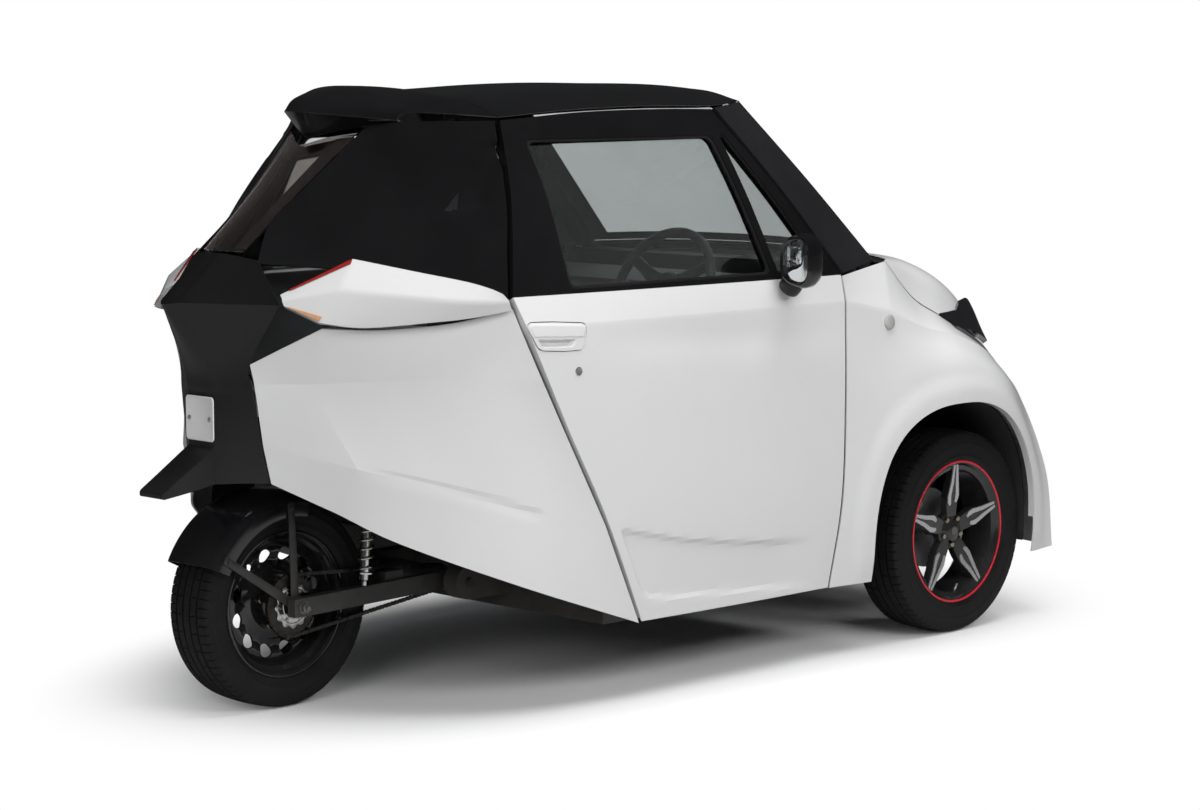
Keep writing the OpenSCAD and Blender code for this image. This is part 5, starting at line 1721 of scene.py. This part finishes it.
# ---- Seats ----
# Two single seats with stuffed cushions and backs in dark woven cloth. Each
# rests on a steel runner bolted to the floor, as it is made.
def weave(material):
    # a fine over and under weave on top of the cloth's own grain
    tree = material.node_tree
    shader = tree.nodes["Principled BSDF"]
    place = tree.nodes.new("ShaderNodeTexCoord")
    heights = []
    for direction in ("X", "Z"):
        wave = tree.nodes.new("ShaderNodeTexWave")
        wave.bands_direction = direction
        wave.inputs["Scale"].default_value = 260
        wave.inputs["Distortion"].default_value = 1.2
        tree.links.new(place.outputs["Object"], wave.inputs["Vector"])
        heights.append(wave)
    blend = tree.nodes.new("ShaderNodeMath")
    blend.operation = "MULTIPLY"
    tree.links.new(heights[0].outputs["Fac"], blend.inputs[0])
    tree.links.new(heights[1].outputs["Fac"], blend.inputs[1])
    bump = tree.nodes.new("ShaderNodeBump")
    bump.inputs["Strength"].default_value = 0.35
    bump.inputs["Distance"].default_value = 0.0006
    tree.links.new(blend.outputs[0], bump.inputs["Height"])
    tree.links.new(bump.outputs["Normal"], shader.inputs["Normal"])
    return material


seat_cloth = weave(finish("seat_weave", (0.030, 0.031, 0.034), 0.85, drift=0.25, drift_scale=14, grain=0.0,
                          Sheen_Weight=0.25))
seat_frame = finish("seat_runner_paint", (0.03, 0.03, 0.032), 0.5, drift=0.2, drift_scale=10, grain=0.3)


def cushion_block(name, lo, hi, radius, lean=0.0, foot=(0, 0, 0)):
    # a rounded block, tilted about its foot
    work = bmesh.new()
    bmesh.ops.create_cube(work, size=1)
    for v in work.verts:
        v.co = Vector([lo[i] + (v.co[i] + 0.5) * (hi[i] - lo[i]) for i in range(3)])
    bmesh.ops.bevel(work, geom=work.edges[:], offset=radius, segments=4, profile=0.6, affect="EDGES")
    turn = Matrix.Translation(foot) @ Matrix.Rotation(lean, 4, "Y") @ Matrix.Translation(-Vector(foot))
    bmesh.ops.transform(work, matrix=turn, verts=work.verts)
    mesh = bpy.data.meshes.new(name)
    work.to_mesh(mesh)
    work.free()
    mesh.materials.append(seat_cloth)
    mesh.polygons.foreach_set("use_smooth", [True] * len(mesh.polygons))
    obj = bpy.data.objects.new(name, mesh)
    bpy.context.scene.collection.objects.link(obj)
    return obj


def stuffed(obj, reach, channels, lean, foot):
    # the cover swells under the stuffing, then seams draw channels into it
    bpy.context.view_layer.objects.active = obj
    obj.select_set(True)
    remesh = obj.modifiers.new("even", "REMESH")
    remesh.mode = "VOXEL"
    remesh.voxel_size = 0.0125
    bpy.ops.object.modifier_apply(modifier="even")
    before = np.array([v.co[:] for v in obj.data.vertices])
    cloth = obj.modifiers.new("stuffing", "CLOTH")
    cloth.settings.use_pressure = True
    cloth.settings.uniform_pressure_force = 4
    cloth.settings.effector_weights.gravity = 0
    cloth.settings.quality = 4
    for f in range(1, 21):
        bpy.context.scene.frame_set(f)
    bpy.ops.object.modifier_apply(modifier="stuffing")
    bpy.context.scene.frame_set(1)
    after = np.array([v.co[:] for v in obj.data.vertices])
    move = after - before
    far = np.linalg.norm(move, axis=1, keepdims=True)
    after = before + move * np.minimum(1, reach / np.maximum(far, 1e-9))
    obj.data.vertices.foreach_set("co", after.ravel())
    even = obj.modifiers.new("finer", "SUBSURF")
    even.levels = even.render_levels = 1
    bpy.ops.object.modifier_apply(modifier="finer")
    turn = Matrix.Translation(foot) @ Matrix.Rotation(-lean, 4, "Y") @ Matrix.Translation(-Vector(foot))
    spots = np.array([v.co[:] for v in obj.data.vertices])
    outwards = np.array([v.normal[:] for v in obj.data.vertices])
    level = spots @ np.array(turn.to_3x3()).T + np.array(turn.translation)
    across = np.abs(level[:, 1] - level[:, 1].mean())
    sunk = np.zeros(len(spots))
    for kind, at in channels:
        along = level[:, 0] if kind == "x" else level[:, 2] if kind == "z" else across
        sunk = np.maximum(sunk, np.exp(-(((along - at) / 0.007) ** 2)))
    spots -= outwards * 0.006 * sunk[:, None]
    obj.data.vertices.foreach_set("co", spots.ravel())
    obj.select_set(False)
    obj.data.polygons.foreach_set("use_smooth", [True] * len(obj.data.polygons))
    return obj


first_seat = True
for tag, mid_y in (("right", -0.265), ("left", 0.265)):
    base = cushion_block(f"seat_cushion_{tag}", (-0.285, mid_y - 0.203, 0.282), (0.160, mid_y + 0.203, 0.390),
                         0.030)
    stuffed(base, 0.022, (("x", -0.16), ("x", 0.055), ("side", 0.135)), 0.0, (0, mid_y, 0.3))
    lean = math.radians(-14)
    foot = (-0.322, mid_y, 0.392)
    back = cushion_block(f"seat_back_{tag}", (-0.311, mid_y - 0.198, 0.402), (-0.225, mid_y + 0.198, 0.930),
                         0.030, lean, foot)
    stuffed(back, 0.022, (("z", 0.545), ("z", 0.690), ("z", 0.835), ("side", 0.130)), lean, foot)
    for obj in (base, back):
        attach(obj, "body")
        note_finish(obj, "seat_cloth")
        if first_seat:
            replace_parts(obj, "seats")
            first_seat = False
    rails = []
    for y in (mid_y - 0.13, mid_y + 0.13):
        rings = []
        for x in (-0.270, -0.268, 0.118, 0.120):
            inset_by = 0.002 if x in (-0.270, 0.120) else 0
            rings.append([Vector((x, y + u * (0.018 - inset_by), z)) for u, z in
                          ((-1, 0.2150), (1, 0.2150), (1, 0.236), (0.45, 0.240), (0.45, 0.284), (-0.45, 0.284),
                           (-0.45, 0.240), (-1, 0.236))])
        rails.append(loft(f"rail_{y:.2f}", rings, seat_frame, "body", smooth=False))
    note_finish(merged(f"seat_runners_{tag}", rails), "frame_steel")


# ---- Dashboard and steering wheel ----
# A moulded grained dashboard with a hooded instrument panel and round vents.
# The wheel has a padded rim, three spokes and a plain pad in the middle.
dash_grain = finish("dash_grain", (0.040, 0.040, 0.043), 0.62, drift=0.12, drift_scale=8, grain=0.6,
                    grain_scale=1100,
                    dust=0.06, dust_top=0.4)
rings = []
for y in (-0.532, -0.528, -0.50, -0.40, -0.30, -0.20, -0.10, 0.0, 0.10, 0.20, 0.30, 0.40, 0.50, 0.528, 0.532):
    hood = math.exp(-((y + 0.265) / 0.145) ** 4)
    drawn = 0.014 if abs(y) > 0.531 else (0.004 if abs(y) > 0.527 else 0.0)
    profile = [(0.505, 0.866), (0.400, 0.872), (0.348, 0.890), (0.318, 0.925),
               (0.300 + 0.008 * (1 - hood), 0.950),
               (0.296, 0.985 - 0.012 * (1 - hood)), (0.294 + 0.02 * (1 - hood), 1.010 - 0.016 * (1 - hood)),
               (0.310, 1.028 - 0.020 * (1 - hood)), (0.345, 1.036 - 0.020 * (1 - hood)),
               (0.420, 1.036 - 0.014 * (1 - hood)),
               (0.505, 1.030)]
    mid = Vector((0.41, y, 0.955))
    rings.append([mid + (Vector((x, y, z)) - mid) * (1 - drawn / 0.10) for x, z in profile])
dash = rounded(loft("dashboard_top", rings, dash_grain, "body"), 0.003, 2, 40)
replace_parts(dash, "dashboard")
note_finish(dash, "trim")
dial_glass = finish("instrument_face", (0.012, 0.014, 0.018), 0.12, drift=0.3, drift_scale=60, Coat_Weight=0.5)
rings = []
for grow, x in ((0.0, 0.3010), (0.0, 0.2960), (-0.004, 0.2945), (-0.010, 0.2965), (-0.011, 0.2975)):
    rings.append([Vector((x, -0.265 + (0.090 + grow) * math.copysign(abs(math.cos(a)) ** 0.4, math.cos(a)),
                          0.985 + (0.026 + grow * 0.6) * math.copysign(abs(math.sin(a)) ** 0.4, math.sin(a))))
                  for a in np.linspace(0, 2 * math.pi, 40, endpoint=False)])
dials = loft("instrument_panel", rings, dial_glass, "body")
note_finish(dials, "trim")
vent_objects = []
for y in (-0.470, 0.080, -0.060, 0.470):
    rings = []
    for r, x in ((0.034, 0.306), (0.034, 0.294), (0.031, 0.2925), (0.027, 0.296), (0.026, 0.303)):
        rings.append([Vector((x, y + r * math.cos(a), 0.972 + r * math.sin(a)))
                      for a in np.linspace(0, 2 * math.pi, 32, endpoint=False)])
    vent_objects.append(loft(f"air_vent_{y:.2f}", rings, satin_black, "body"))
    for k in (-1, 0, 1):
        rings = [[Vector((x, y + u * math.sqrt(0.0255 ** 2 - (k * 0.0125) ** 2), 0.972 + k * 0.0125 + w))
                  for x, w in
                  ((0.296, 0.000), (0.2965, 0.0012), (0.303, -0.0022), (0.3025, -0.0034))] for u in (-1, 1)]
        vent_objects.append(loft(f"vane_{y:.2f}_{k}", rings, satin_black, "body"))
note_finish(merged("air_vents", vent_objects), "black_plastic")

hand_mid = Vector((0.090, -0.265, 1.015))
hand_turn = Matrix.Rotation(math.radians(115), 4, "Y").to_3x3()
rim_leather = finish("rim_leather", (0.020, 0.020, 0.021), 0.5, drift=0.2, drift_scale=30, grain=0.7,
                     grain_scale=1600)


def on_wheel(x, y, z):
    return hand_mid + hand_turn @ Vector((x, y, z))


rings = []
for a in np.linspace(0, 2 * math.pi, 96, endpoint=False):
    ring = []
    for b in np.linspace(0, 2 * math.pi, 20, endpoint=False):
        swell = 0.0128 + 0.0006 * math.cos(3 * a) + 0.0005 * abs(math.sin(12 * b))
        r = 0.167 + swell * math.cos(b)
        ring.append(on_wheel(r * math.cos(a), r * math.sin(a), swell * math.sin(b)))
    rings.append(ring)
hand_rim = loft("steering_rim", rings + [rings[0]], rim_leather, "steering_wheel", capped=False)
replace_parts(hand_rim, "steering_wheel")
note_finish(hand_rim, "trim")
spokes = []
for k in range(3):
    a = math.radians(120 * k)
    rings = []
    for r, half_wide, z in ((0.030, 0.030, 0.012), (0.060, 0.022, 0.011), (0.110, 0.0155, 0.008),
                            (0.150, 0.0150, 0.003), (0.166, 0.017, 0.001)):
        ring = []
        for u, w in ((-1, -0.0045), (-0.8, -0.0062), (0.8, -0.0062), (1, -0.0045), (1, 0.0045), (0.8, 0.006),
                     (-0.8, 0.006), (-1, 0.0045)):
            t = u * half_wide
            ring.append(on_wheel(r * math.cos(a) - t * math.sin(a), r * math.sin(a) + t * math.cos(a), z + w))
        rings.append(ring)
    spokes.append(loft(f"hand_spoke_{k}", rings, satin_black, "steering_wheel"))
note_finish(merged("steering_spokes", spokes), "black_plastic")
pad_profile = [(0.0, -0.006), (0.030, -0.0055), (0.046, -0.002), (0.053, 0.006), (0.054, 0.016),
               (0.050, 0.028), (0.022, 0.031),
               (0.0175, 0.034), (0.0175, 0.246), (0.0, 0.247)]
rings = [[on_wheel(r * math.cos(a), r * math.sin(a), z)
          for a in np.linspace(0, 2 * math.pi, 48, endpoint=False)] for r, z in pad_profile]
pad = sharp_shade(loft("steering_pad", rings, satin_black, "steering_wheel"), 30)
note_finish(pad, "black_plastic")


# ---- Frame, floor, motor housing and front suspension ----
# The welded frame and floor are painted black. The front arms are forged and
# the housing between them is cast, all left plain as they are made.
cabin_black = finish("cabin_lining", (0.012, 0.012, 0.013), 0.65, drift=0.2, drift_scale=4, grain=0.4,
                     grain_scale=500,
                     dust=0.12, dust_top=0.6)
floor_black = finish("floor_coating", (0.010, 0.010, 0.0105), 0.6, drift=0.3, drift_scale=5, grain=0.6,
                     grain_scale=450,
                     dust=0.3, dust_top=0.8)
cast_grey = finish("cast_housing", (0.10, 0.10, 0.105), 0.55, drift=0.25, drift_scale=10, grain=0.7,
                   grain_scale=500,
                   dust=0.25, dust_top=0.8)
forged_black = finish("forged_arm_paint", (0.020, 0.020, 0.022), 0.45, drift=0.3, drift_scale=12, grain=0.3,
                      dust=0.25,
                      dust_top=0.7)
set_finish(cabin_black, "body_frame")
set_finish(floor_black, "floor_pan")
set_finish(cast_grey, "engine")
set_finish(forged_black, "front_arms")
soften("engine", 0.006)
soften("front_arms", 0.0015)
soften("knuckle_right", 0.0015)
soften("knuckle_left", 0.0015)
